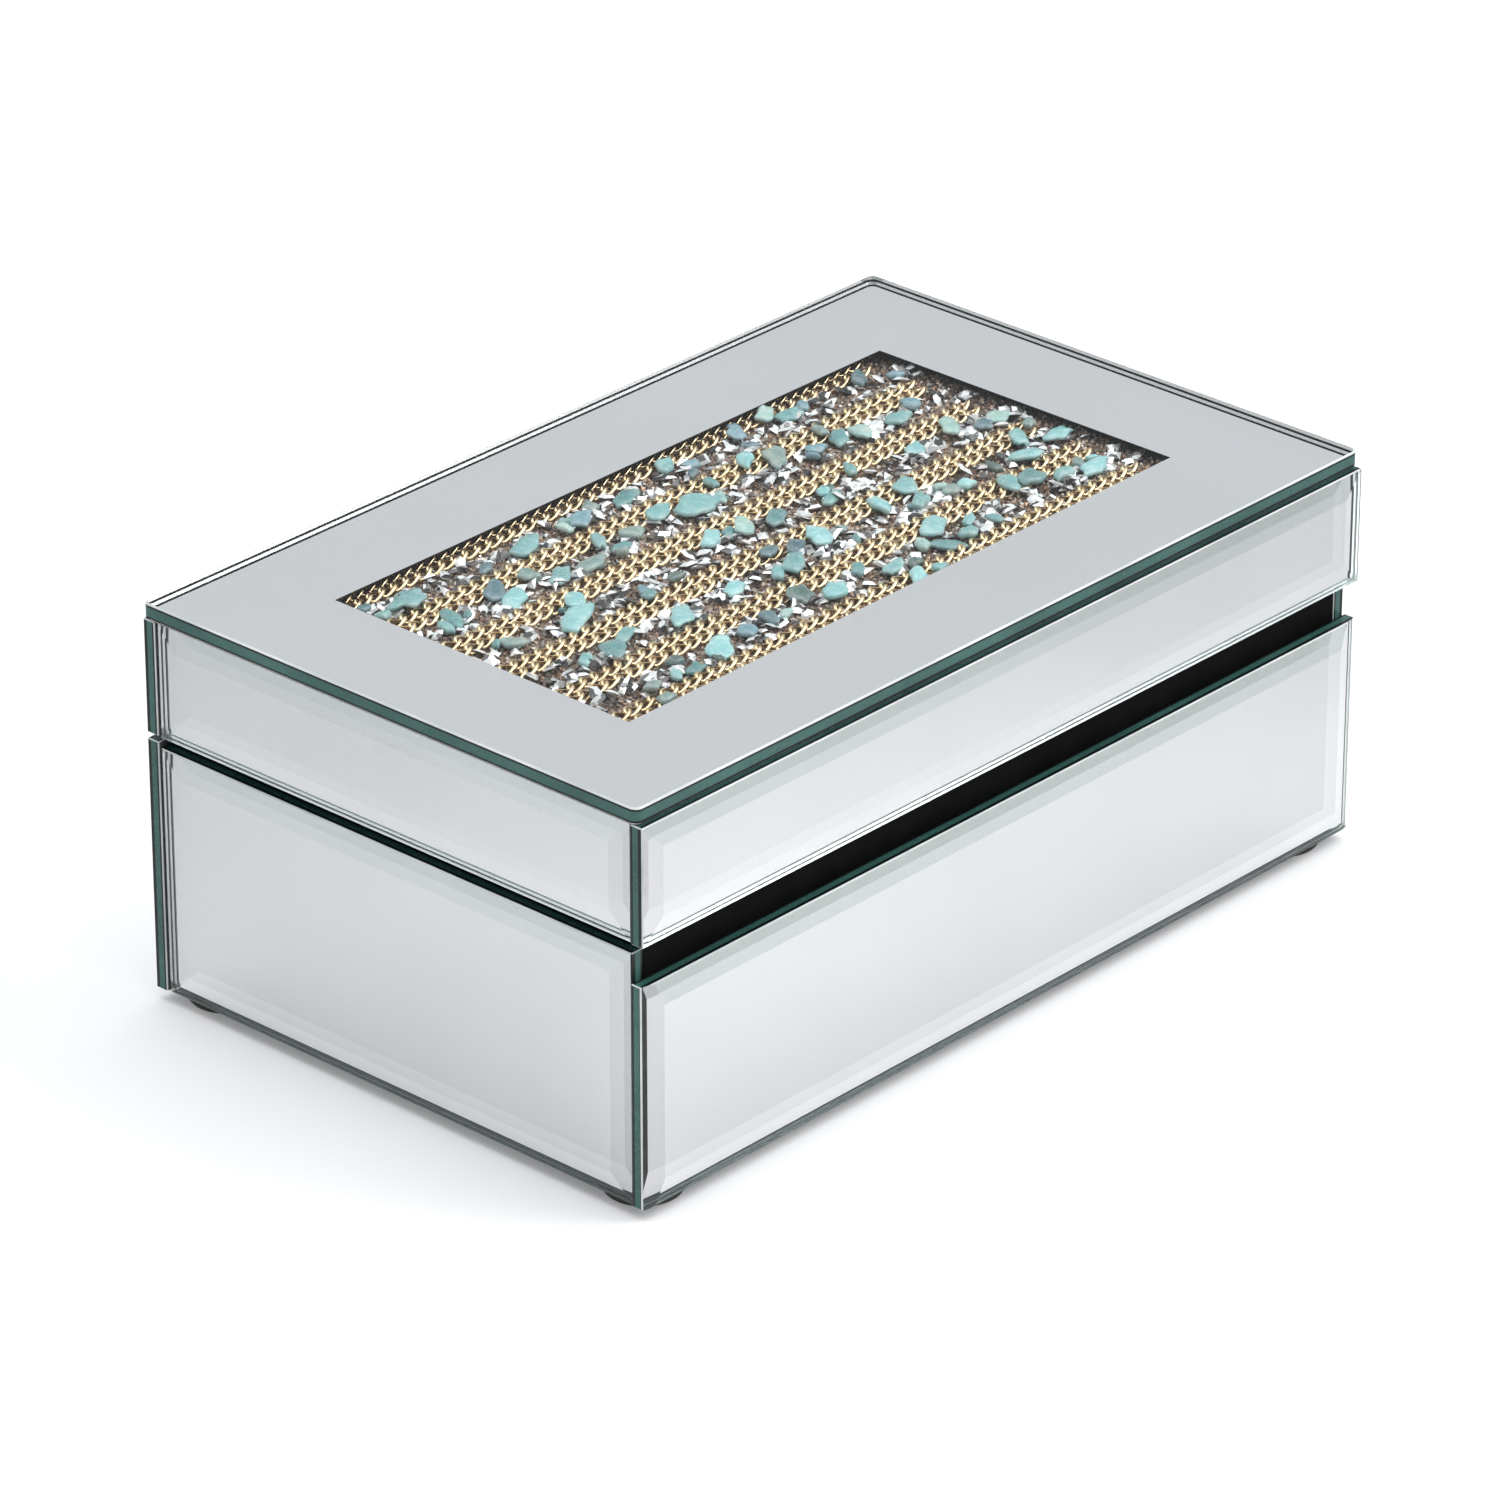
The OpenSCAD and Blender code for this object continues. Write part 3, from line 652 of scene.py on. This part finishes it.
def bevelled_sheet(half_w, half_h, thick, end_drop, painted_shade_foot):
    """Clear sheet about the origin with its back at Z = 0, its front bevelled along all four edges. Where the
    foot is shaded, the bottom edge face and its front arris are painted dark as painted shade, as on the
    mirrors near the table."""
    bm = bmesh.new()
    bmesh.ops.create_cube(bm, size=1)
    bmesh.ops.transform(bm, verts=bm.verts, matrix=Matrix.Translation((0, 0, thick / 2))
                        @ Matrix.Diagonal((2 * half_w, 2 * half_h, thick, 1)))
    for face in bm.faces:
        face.material_index = GLASS if abs(face.normal.z) > SIDE_FACE else EDGE
    sides = [(Vector((turn, 0, 0)), half_w, end_drop) for turn in (-1, 1)]
    sides += [(Vector((0, turn, 0)), half_h, BEVEL_DROP) for turn in (-1, 1)]
    up = Vector((0, 0, 1))
    for out, reach, drop in sides:
        slice_off(bm, out * reach + up * (thick - drop), out * drop + up * BEVEL_W, GLASS)
    for out, reach, drop in sides:
        # Painted shade: the right end's front arris, and the bottom one where the foot is shaded, take the
        # dark rim
        painted_shade_arris = out.x > 0 or painted_shade_foot and out.y < 0
        slice_off(bm, out * (reach - ARRIS), out - up, WORKED)
        slice_off(bm, out * reach + up * (thick - drop - ARRIS), out + up, RIM if painted_shade_arris else WORKED)
    for x in (-1, 1):
        for y in (-1, 1):
            slice_off(bm, (x * (half_w - ARRIS / 2), y * (half_h - ARRIS / 2), 0), (x, y, 0), WORKED)
    draw_rim(bm, ARRIS + EDGE_RIM, True)
    draw_rim(bm, thick - BEVEL_DROP - ARRIS - FRONT_RIM, False)
    bm.normal_update()
    # Painted shade: where the foot is shaded, the bottom edge face takes the dark rim
    for face in bm.faces:
        if face.normal.y < BOTTOM_FACE:
            face.material_index = RIM if painted_shade_foot else EDGE
    return bm


def read_mesh(bm):
    """Points, faces and material slots of a bmesh, which is then freed."""
    bm.verts.index_update()
    verts = [vert.co.copy() for vert in bm.verts]
    faces = [[vert.index for vert in face.verts] for face in bm.faces]
    slots = [face.material_index for face in bm.faces]
    bm.free()
    return verts, faces, slots


# Tints of the glass: one for a mirror's face, and four for its bevels, at its left end, its right end, its
# bottom and its top. The bevels' tints are painted shade and painted light, making each bevel darker or
# lighter than the face as it reflects.
FACE_TINT = 0.82
BEVEL_PAINTED_SHADES = {
    "front": ((0.70, 0.67, 0.69), (0.98, 0.98, 0.98), (1.0, 1.0, 1.0), (0.56, 0.60, 0.58)),
    "left": ((0.78, 0.78, 0.79), (0.70, 0.70, 0.71), (0.94, 0.94, 0.95), (0.70, 0.73, 0.73)),
}
BEVEL_PAINTED_SHADES["back"] = BEVEL_PAINTED_SHADES["front"]
BEVEL_PAINTED_SHADES["right"] = BEVEL_PAINTED_SHADES["left"]


def glass_tint_with_painted_shade(normal, facing):
    """Tint of a glass face, by which way it looks in the panel's own frame; on the bevels it is painted shade
    or painted light.
    """
    left, right, bottom, top = BEVEL_PAINTED_SHADES[facing]
    if normal.z < SIDE_FACE or normal.z > FLAT_FACE:
        return grey(FACE_TINT)
    if abs(normal.x) > abs(normal.y):
        return left if normal.x < 0 else right
    return bottom if normal.y < 0 else top


def mirror(node, body, facing, glass, silver, backing):
    """One bevelled mirror: the clear sheet, and the silvering on its back with its grey paint."""
    half_w, half_h, thick, place = panel_frame(node, facing)
    end_drop = DEEP_DROP if node == "base_front_mirror" else BEVEL_DROP
    sheet = bevelled_sheet(half_w, half_h, thick, end_drop, body == "base_box")
    # Face tints, with painted shade and painted light on the bevels
    tints = []
    for face in sheet.faces:
        tints += [*glass_tint_with_painted_shade(face.normal, facing), 1.0] * len(face.verts)
    verts, faces, slots = read_mesh(sheet)
    made = add_piece(f"{node}_glass", moved(verts, place), faces, glass, body,
                     replaced=[node], face_slots=slots)
    tint_corners(made, tints)
    verts, faces = stack([rectangle(half_w, half_h, ARRIS, z) for z in SILVER_LEVELS])
    add_piece(f"{node}_silvering", moved(verts, place), faces, [silver, backing], body,
              face_slots=[BACKING] * 5 + [SILVER])


def top_plate(glass, silver, backing):
    """The clear top plate, and the silvered border under it round the window."""
    half_w, half_d, thick, place = panel_frame("top_glass_plate", "top")
    rings = [rectangle(half_w, half_d, inset, z, PLATE_CORNER) for inset, z in
             [(PLATE_ARRIS, 0), (0, PLATE_ARRIS), (0, PLATE_ARRIS + EDGE_RIM),
              (0, thick - PLATE_ARRIS - EDGE_RIM), (0, thick - PLATE_ARRIS), (PLATE_ARRIS, thick)]]
    n = len(rings[0])
    verts, faces = stack(rings)
    # Bands round the plate's edge: pale arrises with a painted highlight, dark rims partly of painted shade,
    # and the green edge between
    bands = [GLASS] + [band for band in (WORKED, RIM, EDGE, RIM, WORKED) for _ in range(n)] + [GLASS]
    add_piece("top_plate_glass", moved(verts, place), faces, glass, "lid",
              replaced=["top_glass_plate"], face_slots=bands)

    outer = [rectangle(half_w, half_d, PLATE_ARRIS, z, PLATE_CORNER) for z in SILVER_LEVELS]
    window = rectangle(WINDOW_W / 2, WINDOW_D / 2, 0, 0)
    hole = [[(x + WINDOW_X, y + WINDOW_Y, z) for x, y, _ in window] for z in SILVER_LEVELS]
    verts = outer[0] + outer[1] + hole[0] + hole[1]
    faces, slots = [], []
    corner_steps = n // 4
    for level, slot in enumerate((BACKING, SILVER)):
        for quarter in range(4):
            start = level * n + quarter * corner_steps
            arc = list(range(start, start + corner_steps))
            following = level * n + (quarter + 1) % 4 * corner_steps
            inner = 2 * n + level * 4 + quarter
            inner_next = 2 * n + level * 4 + (quarter + 1) % 4
            face = arc + [following, inner_next, inner]
            faces.append(face[::-1] if level == 0 else face)
            slots.append(slot)
    for i in range(n):
        j = (i + 1) % n
        faces.append([i, j, n + j, n + i])
        slots.append(BACKING)
    for i in range(4):
        j = (i + 1) % 4
        low, high = 2 * n, 2 * n + 4
        faces.append([low + j, low + i, high + i, high + j])
        slots.append(BACKING)
    add_piece("top_plate_silvering", moved(verts, place), faces, [silver, backing], "lid",
              face_slots=slots)


def build_glass():
    """The eight mirrors and the top plate, with their silvering."""
    # Painted shade and light: mirrors and plate get copies of one silvering and one ground edge, each made
    # darker or lighter; the sides' silvering and the plate's edges are the darker
    side_glass = [mirror_glass_material(),
                  *edge_materials("mirror", (0.86, 0.87, 0.87), (0.50, 0.53, 0.52))]
    plate_glass = [plate_glass_material(),
                   *edge_materials("plate", (0.45, 0.43, 0.43), (0.06, 0.07, 0.07))]
    side_silver = silver_material("side_silvering", (0.775, 0.785, 0.795), (0.805, 0.815, 0.825))
    plate_silver = silver_material("plate_silvering", (0.90, 0.905, 0.91), (0.92, 0.925, 0.93))
    backing = backing_material()
    for part, body in (("base", "base_box"), ("lid", "lid")):
        for facing in ("front", "back", "left", "right"):
            mirror(f"{part}_{facing}_mirror", body, facing, side_glass, side_silver, backing)
    top_plate(plate_glass, plate_silver, backing)


# ---------- lining ----------

# Rings round a card from its back to its face, each as (inset in mm, share of the card's thickness)
CARD_CORNER = 1.0 * MM
CARD_RINGS = [(0.3, 0), (0, 0.3), (0, 0.75), (0.12, 0.92), (0.3, 0.98), (0.8, 1.0)]


def velvet_card(node, body, facing, velvet):
    """Lining card with its velvet turned softly over the edges."""
    half_w, half_h, thick, place = panel_frame(node, facing)
    verts, faces = stack([rectangle(half_w, half_h, inset * MM, share * thick, CARD_CORNER)
                          for inset, share in CARD_RINGS])
    add_piece(f"{node}_velvet", moved(verts, place), faces, [velvet], body, replaced=[node])


def line_box():
    """Velvet cards on the walls, the floor and the ceiling."""
    velvet = velvet_material()
    for part, body in (("base", "base_box"), ("lid", "lid")):
        for side, facing in (("front", "back"), ("back", "front"), ("left", "right"), ("right", "left")):
            velvet_card(f"{part}_{side}_lining", body, facing, velvet)
    velvet_card("base_floor_lining", "base_box", "top", velvet)
    velvet_card("lid_ceiling_lining", "lid", "down", velvet)


# ---------- carried-over CAD nodes ----------

def finish_cad_nodes():
    """Materials for the CAD nodes whose shape is right."""
    paint = black_paint_material()
    rubber = rubber_material()
    nickel = nickel_material()
    board = hardboard_material()
    for name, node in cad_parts.items():
        if name == "decoration_board":
            mat = board
        elif name.endswith("_board"):
            mat = paint
        elif name.startswith("foot_"):
            mat = rubber
        elif name.startswith("hinge_"):
            mat = nickel
        else:
            continue
        node.data.materials.clear()
        node.data.materials.append(mat)


# ---------- decoration ----------

def chain_link_mesh():
    """Twisted oval ring of round wire, lying flat: opposite quarters rise and the others dip."""
    around, sides = LINK_STEPS, WIRE_SIDES
    verts, faces = [], []
    centres = []
    for i in range(around):
        a = 2 * math.pi * i / around
        centres.append(Vector((LINK_HALF_LEN * math.cos(a), LINK_HALF_WIDTH * math.sin(a),
                               -LINK_TWIST * math.sin(2 * a))))
    for i in range(around):
        along = (centres[(i + 1) % around] - centres[i - 1]).normalized()
        side = along.cross(Vector((0, 0, 1))).normalized()
        up = side.cross(along)
        for j in range(sides):
            turn = 2 * math.pi * j / sides
            verts.append(centres[i] + WIRE_R * (side * math.cos(turn) + up * math.sin(turn)))
    for i in range(around):
        for j in range(sides):
            k, m = (i + 1) % around, (j + 1) % sides
            faces.append([i * sides + j, k * sides + j, k * sides + m, i * sides + m])
    return verts, faces


def chain_rows(gold):
    """Each row as two strands side by side, with the far one shifted along by part of a link."""
    link_verts, link_faces = chain_link_mesh()
    for row in range(1, ROWS + 1):
        low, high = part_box(f"chain_row_{row}")
        middle = (low + high) / 2
        links = int((high.x - low.x) / LINK_PITCH) - 1
        rng = random.Random(row)
        verts, faces = [], []
        for strand in (-1, 1):
            for i in range(links):
                along = (i - (links - 1) / 2 + (STRAND_SHIFT if strand > 0 else 0)) * LINK_PITCH
                wander = STRAND_WANDER * math.sin(i * WANDER_STEP + row * 2 + strand)
                spin_angle = math.radians(rng.uniform(-LINK_STRAY, LINK_STRAY) + LINK_LEAN)
                rock_angle = math.radians(rng.uniform(-LINK_ROCK, LINK_ROCK))
                spin = Matrix.Rotation(spin_angle, 4, "Z")
                rock = Matrix.Rotation(rock_angle, 4, "X")
                place = Matrix.Translation((middle.x + along, middle.y + strand * STRAND_Y + wander,
                                            low.z + WIRE_R + LINK_TWIST + LINK_LIFT)) @ spin @ rock
                base = len(verts)
                verts += [place @ v for v in link_verts]
                faces += [[base + k for k in f] for f in link_faces]
        add_piece(f"chain_{row}", verts, faces, [gold], "lid", replaced=[f"chain_row_{row}"],
                  smooth=True)


def row_middles():
    """Y of the middle of each chain row, from the back of the box to its front."""
    return [sum(corner.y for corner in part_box(f"chain_row_{row}")) / 2 for row in range(1, ROWS + 1)]


def strips(middle):
    """Lowest and highest Y of each strip of bed between and outside the chain rows."""
    edges = [middle.y + WELL_D / 2] + row_middles() + [middle.y - WELL_D / 2]
    beside_row, beside_wall = 2 * STRAND_Y, 1 * MM
    found = []
    for i in range(len(edges) - 1):
        high = edges[i] - (beside_row if i > 0 else beside_wall)
        low = edges[i + 1] + (beside_row if i < len(edges) - 2 else beside_wall)
        if high > low:
            found.append((low, high))
    return found


OCTAHEDRON = [(1, 0, 0), (-1, 0, 0), (0, 1, 0), (0, -1, 0), (0, 0, 1), (0, 0, -1)]
OCTAHEDRON_FACES = [(0, 2, 4), (2, 1, 4), (1, 3, 4), (3, 0, 4), (2, 0, 5), (1, 2, 5), (3, 1, 5), (0, 3, 5)]


def granules(middle, top):
    """Crushed grains over the whole well, on the thin bed that they are glued to."""
    rng = random.Random(11)
    low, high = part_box("granule_bed")
    heap = Heap()
    half_w, half_d = (high.x - low.x) / 2, (high.y - low.y) / 2
    slab, faces = stack([rectangle(half_w, half_d, inset, z) for inset, z in
                         ((BED_CHAMFER, low.z), (0, low.z + BED_CHAMFER), (0, top - BED_CHAMFER),
                          (BED_CHAMFER, top))])
    heap.add([Vector((x + middle.x, y + middle.y, z)) for x, y, z in slab], faces, GRAIN_TINTS[1])
    across, deep = int(WELL_W / GRAIN_PITCH), int(WELL_D / GRAIN_PITCH)
    for i in range(across):
        for j in range(deep):
            size = GRAIN_PITCH * rng.uniform(*GRAIN_SIZES)
            along = i + 0.5 - across / 2 + rng.uniform(-GRAIN_STRAY, GRAIN_STRAY)
            back = j + 0.5 - deep / 2 + rng.uniform(-GRAIN_STRAY, GRAIN_STRAY)
            spot = Vector((middle.x + along * GRAIN_PITCH, middle.y + back * GRAIN_PITCH,
                           top + size * rng.uniform(*GRAIN_LIFTS)))
            turn = Euler([rng.uniform(*ANY_TURN) for _ in range(3)]).to_matrix()
            verts = [spot + turn @ Vector(arm) * size * rng.uniform(*GRAIN_ARMS) for arm in OCTAHEDRON]
            tint = rng.choice(GRAIN_TINTS)
            shades = rng.choices(GRAIN_SHADES, k=len(OCTAHEDRON_FACES))
            heap.add(verts, OCTAHEDRON_FACES, [tuple(c * shade for c in tint) for shade in shades])
    grain = tinted_material("bed_granules", (700, grey(0.8)), (0.25, 0.45), (1500, 0.1, 0.00005),
                            Metallic=0.15)
    heap.piece("granule_bed_grains", grain, "lid", "rose_granules", ["granule_bed"])


def crystal(rng, spot, size, bottom):
    """Foiled cut stone: pavilion, girdle, crown and table, with three to six sides. Its lowest point is at
    the height of the bottom."""
    sides = rng.choice(CRYSTAL_SIDES)
    stretch = rng.uniform(*CRYSTAL_STRETCHES)
    tall = size * rng.uniform(*CRYSTAL_HEIGHTS)
    rings = []
    for share, z in ((PAVILION, 0.0), (1.0, GIRDLE_RISE * tall), (rng.uniform(*TABLES), tall)):
        rings += [Vector((size * share * math.cos(a), size * share * stretch * math.sin(a), z))
                  for a in [2 * math.pi * (i + CRYSTAL_STRAY * rng.uniform(-1, 1)) / sides
                            for i in range(sides)]]
    turn = Euler((rng.uniform(-CRYSTAL_TILT, CRYSTAL_TILT), rng.uniform(-CRYSTAL_TILT, CRYSTAL_TILT),
                  rng.uniform(*ANY_TURN))).to_matrix()
    verts = [turn @ v + spot for v in rings]
    lowest = min(v.z for v in verts)
    verts = [v + Vector((0, 0, bottom - lowest)) for v in verts]
    faces = [list(range(sides))[::-1], list(range(2 * sides, 3 * sides))]
    for level in (0, sides):
        for i in range(sides):
            j = (i + 1) % sides
            faces.append([level + i, level + j, level + sides + j, level + sides + i])
    return verts, faces


def crystals(middle, top):
    """Crystals strewn along each strip, fewer where a strip is narrow. Their facets are painted white, grey
    or dark at random: painted reflections of bright and dark surroundings."""
    rng = random.Random(23)
    heap = Heap()
    for low, high in strips(middle):
        for _ in range(int(CRYSTALS_PER_STRIP * min(1, (high - low) / FULL_STRIP))):
            spot = Vector((middle.x + rng.uniform(-0.5, 0.5) * CRYSTAL_SPAN, rng.uniform(low, high), 0))
            size = rng.uniform(*CRYSTAL_SIZES) * MM
            verts, faces = crystal(rng, spot, size, top + rng.uniform(*CRYSTAL_LIFTS) * MM)
            heap.add(verts, faces, rng.choices(CRYSTAL_PAINTED_REFLECTIONS, CRYSTAL_ODDS, k=len(faces)))
    stone = tinted_material("foiled_crystal", (900, grey(0.92)), (0.05, 0.16), (600, 0.03, 0.00003),
                            Metallic=0.35)
    heap.piece("crystals", stone, "lid", "crystal", ["crystal_stones"])


def chip(heap, rng, spot, size, turn, tint, roll):
    """Tumbled chip of shell: a rounded, uneven slab, a little paler round its rim."""
    length, width, thick = size
    power = rng.uniform(*CHIP_POWERS)
    taper = rng.uniform(-CHIP_TAPER, CHIP_TAPER)
    seed = Vector((rng.uniform(0, NOISE_FIELD), rng.uniform(0, NOISE_FIELD), 0))
    verts = []
    for rise, share in CHIP_LEVELS:
        for i in range(CHIP_SIDES):
            a = 2 * math.pi * i / CHIP_SIDES
            outwards = Vector((math.cos(a), math.sin(a), 0))
            x = math.copysign(abs(math.cos(a)) ** power, math.cos(a))
            y = math.copysign(abs(math.sin(a)) ** power, math.sin(a)) * (1 + taper * x)
            uneven = 1 + CHIP_UNEVEN * noise.noise(seed + outwards * OUTLINE_WAVES)
            swell = CHIP_SWELL * noise.noise(seed + Vector((x, y, FACE_SLICE)) * FACE_WAVES)
            verts.append(Vector((x * share * uneven * length / 2, y * share * uneven * width / 2,
                                 (rise + swell) * thick)))
    turned = (Matrix.Rotation(math.radians(turn), 3, "Z") @ Matrix.Rotation(roll, 3, "X")
              @ Matrix.Rotation(rng.uniform(-CHIP_PITCH, CHIP_PITCH), 3, "Y"))
    verts = [turned @ v for v in verts]
    floor_z, roof_z = min(v.z for v in verts), max(v.z for v in verts)
    lift = min(spot.z - floor_z, CEILING - roof_z)
    verts = [v + Vector((spot.x, spot.y, lift)) for v in verts]
    last = (len(CHIP_LEVELS) - 1) * CHIP_SIDES
    faces = [list(range(CHIP_SIDES))[::-1], list(range(last, last + CHIP_SIDES))]
    tints = [tint, tint]
    for level, (rise, share) in enumerate(CHIP_LEVELS[:-1]):
        pale = RIM_PALENESS * (1 - abs(rise) * 2)
        shade = tuple(c + (1 - c) * pale for c in tint)
        for i in range(CHIP_SIDES):
            j, start = (i + 1) % CHIP_SIDES, level * CHIP_SIDES
            faces.append([start + i, start + j, start + CHIP_SIDES + j, start + CHIP_SIDES + i])
            tints.append(shade)
    heap.add(verts, faces, tints)


def chips(middle, top):
    """The larger chips in their places, and small ones strewn along the strips. A chip that reaches a chain
    row lies on it, and leans against it if its middle is beside the row."""
    rng = random.Random(37)
    heap = Heap()
    placed = [(middle.x + x * MM, middle.y + y * MM, min(length, SLIMMEST * width) * MM, width * MM, turn,
               tone) for x, y, length, width, turn, tone in CHIPS]
    for low, high in strips(middle):
        for _ in range(SMALL_CHIPS_PER_STRIP):
            length = rng.uniform(*SMALL_CHIP_LENGTHS) * MM
            placed.append((middle.x + rng.uniform(-0.5, 0.5) * CHIP_SPAN, rng.uniform(low, high), length,
                           length * rng.uniform(*SMALL_CHIP_SHARES), rng.uniform(0, 180),
                           rng.choice(sorted(TONES))))
    rows = row_middles()
    for x, y, length, width, turn, tone in placed:
        to_row = min((row - y for row in rows), key=abs)
        on_chain = abs(to_row) < CHAIN_REACH + width / 2
        if on_chain and abs(to_row) > CHAIN_CREST:
            roll = math.copysign(LEANING_ROLL, to_row)
        else:
            roll = rng.uniform(-FREE_ROLL, FREE_ROLL)
        floor_z = top + (ON_CHAIN_LIFT if on_chain else rng.uniform(*OFF_CHAIN_LIFTS)) * MM
        shade = rng.uniform(*CHIP_SHADES)
        tint = tuple(min(PALEST, c * shade) for c in TONES[tone])
        size = (length, width, rng.uniform(*CHIP_THICKNESSES) * MM)
        chip(heap, rng, Vector((x, y, floor_z)), size, turn, tint, roll)
    shell = tinted_material("turquoise_shell", (260, (0.62, 0.80, 0.82)), (0.18, 0.34), (900, 0.12, 0.0001),
                            Subsurface_Weight=0.25, Subsurface_Scale=0.0015, Coat_Weight=0.3,
                            Coat_Roughness=0.12)
    heap.piece("turquoise_chips_loose", shell, "lid", "turquoise", ["turquoise_chips"], smooth=True)


def decorate():
    """All that lies in the well under the window."""
    low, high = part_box("granule_bed")
    middle = (low + high) / 2
    granules(middle, high.z)
    chain_rows(gold_material())
    crystals(middle, high.z)
    chips(middle, high.z)


# ---------- stage ----------

def build_stage():
    """The table that the box stands on."""
    bpy.ops.mesh.primitive_circle_add(vertices=FLOOR_SIDES, radius=FLOOR_RADIUS, fill_type="NGON",
                                      location=(0, 0, 0))
    floor = bpy.context.object
    floor.name = "studio_floor"
    floor.data.materials.append(floor_material())


def build_key_light():
    """A round softbox at the front right of the box."""
    data = bpy.data.lights.new("key", "AREA")
    data.shape = "DISK"
    data.size = KEY_SIZE
    data.energy = KEY_POWER
    lamp = bpy.data.objects.new("key", data)
    bpy.context.scene.collection.objects.link(lamp)
    lamp.location = KEY_PLACE
    towards = KEY_AIM - Vector(KEY_PLACE)
    lamp.rotation_euler = towards.to_track_quat("-Z", "Y").to_euler()


def build_world():
    """Soft white surroundings, brightest overhead, with two darker sides."""
    world = bpy.data.worlds.new("studio")
    bpy.context.scene.world = world
    world.use_nodes = True
    tree = world.node_tree
    background = tree.nodes["Background"]
    place = tree.nodes.new("ShaderNodeTexCoord").outputs["Generated"]
    split = tree.nodes.new("ShaderNodeSeparateXYZ")
    tree.links.new(place, split.inputs[0])
    ramp = tree.nodes.new("ShaderNodeValToRGB")
    tree.links.new(split.outputs["Z"], ramp.inputs["Fac"])
    set_stops(ramp, SKY_STOPS)
    light = ramp.outputs["Color"]
    for azimuth, elevation, full, end, strength in SHADES:
        towards = tree.nodes.new("ShaderNodeVectorMath")
        towards.operation = "DOT_PRODUCT"
        tree.links.new(place, towards.inputs[0])
        towards.inputs[1].default_value = heading(azimuth, elevation)
        shade = tree.nodes.new("ShaderNodeMapRange")
        shade.interpolation_type = "SMOOTHSTEP"
        tree.links.new(towards.outputs["Value"], shade.inputs["Value"])
        shade.inputs["From Min"].default_value = math.cos(math.radians(end))
        shade.inputs["From Max"].default_value = math.cos(math.radians(full))
        shade.inputs["To Min"].default_value = 1.0
        shade.inputs["To Max"].default_value = 1.0 - strength
        dimmed = tree.nodes.new("ShaderNodeVectorMath")
        dimmed.operation = "SCALE"
        tree.links.new(light, dimmed.inputs[0])
        tree.links.new(shade.outputs["Result"], dimmed.inputs["Scale"])
        light = dimmed.outputs["Vector"]
    tree.links.new(light, background.inputs["Color"])
    background.inputs["Strength"].default_value = SKY_STRENGTH


def build_camera():
    """The camera of the photograph's view."""
    data = bpy.data.cameras.new("camera")
    data.lens = VIEW_LENS
    data.sensor_width = SENSOR_WIDTH
    data.clip_end = CLIP_END
    camera = bpy.data.objects.new("camera", data)
    bpy.context.scene.collection.objects.link(camera)
    towards = heading(VIEW_AZIMUTH, VIEW_ELEVATION)
    camera.location = Vector(VIEW_TARGET) + towards * VIEW_DISTANCE
    camera.rotation_euler = (-towards).to_track_quat("-Z", "Y").to_euler()
    bpy.context.scene.camera = camera


build_camera()
build_stage()
build_world()
build_key_light()
bpy.context.scene.view_settings.view_transform = "Standard"
build_glass()
line_box()
finish_cad_nodes()
decorate()
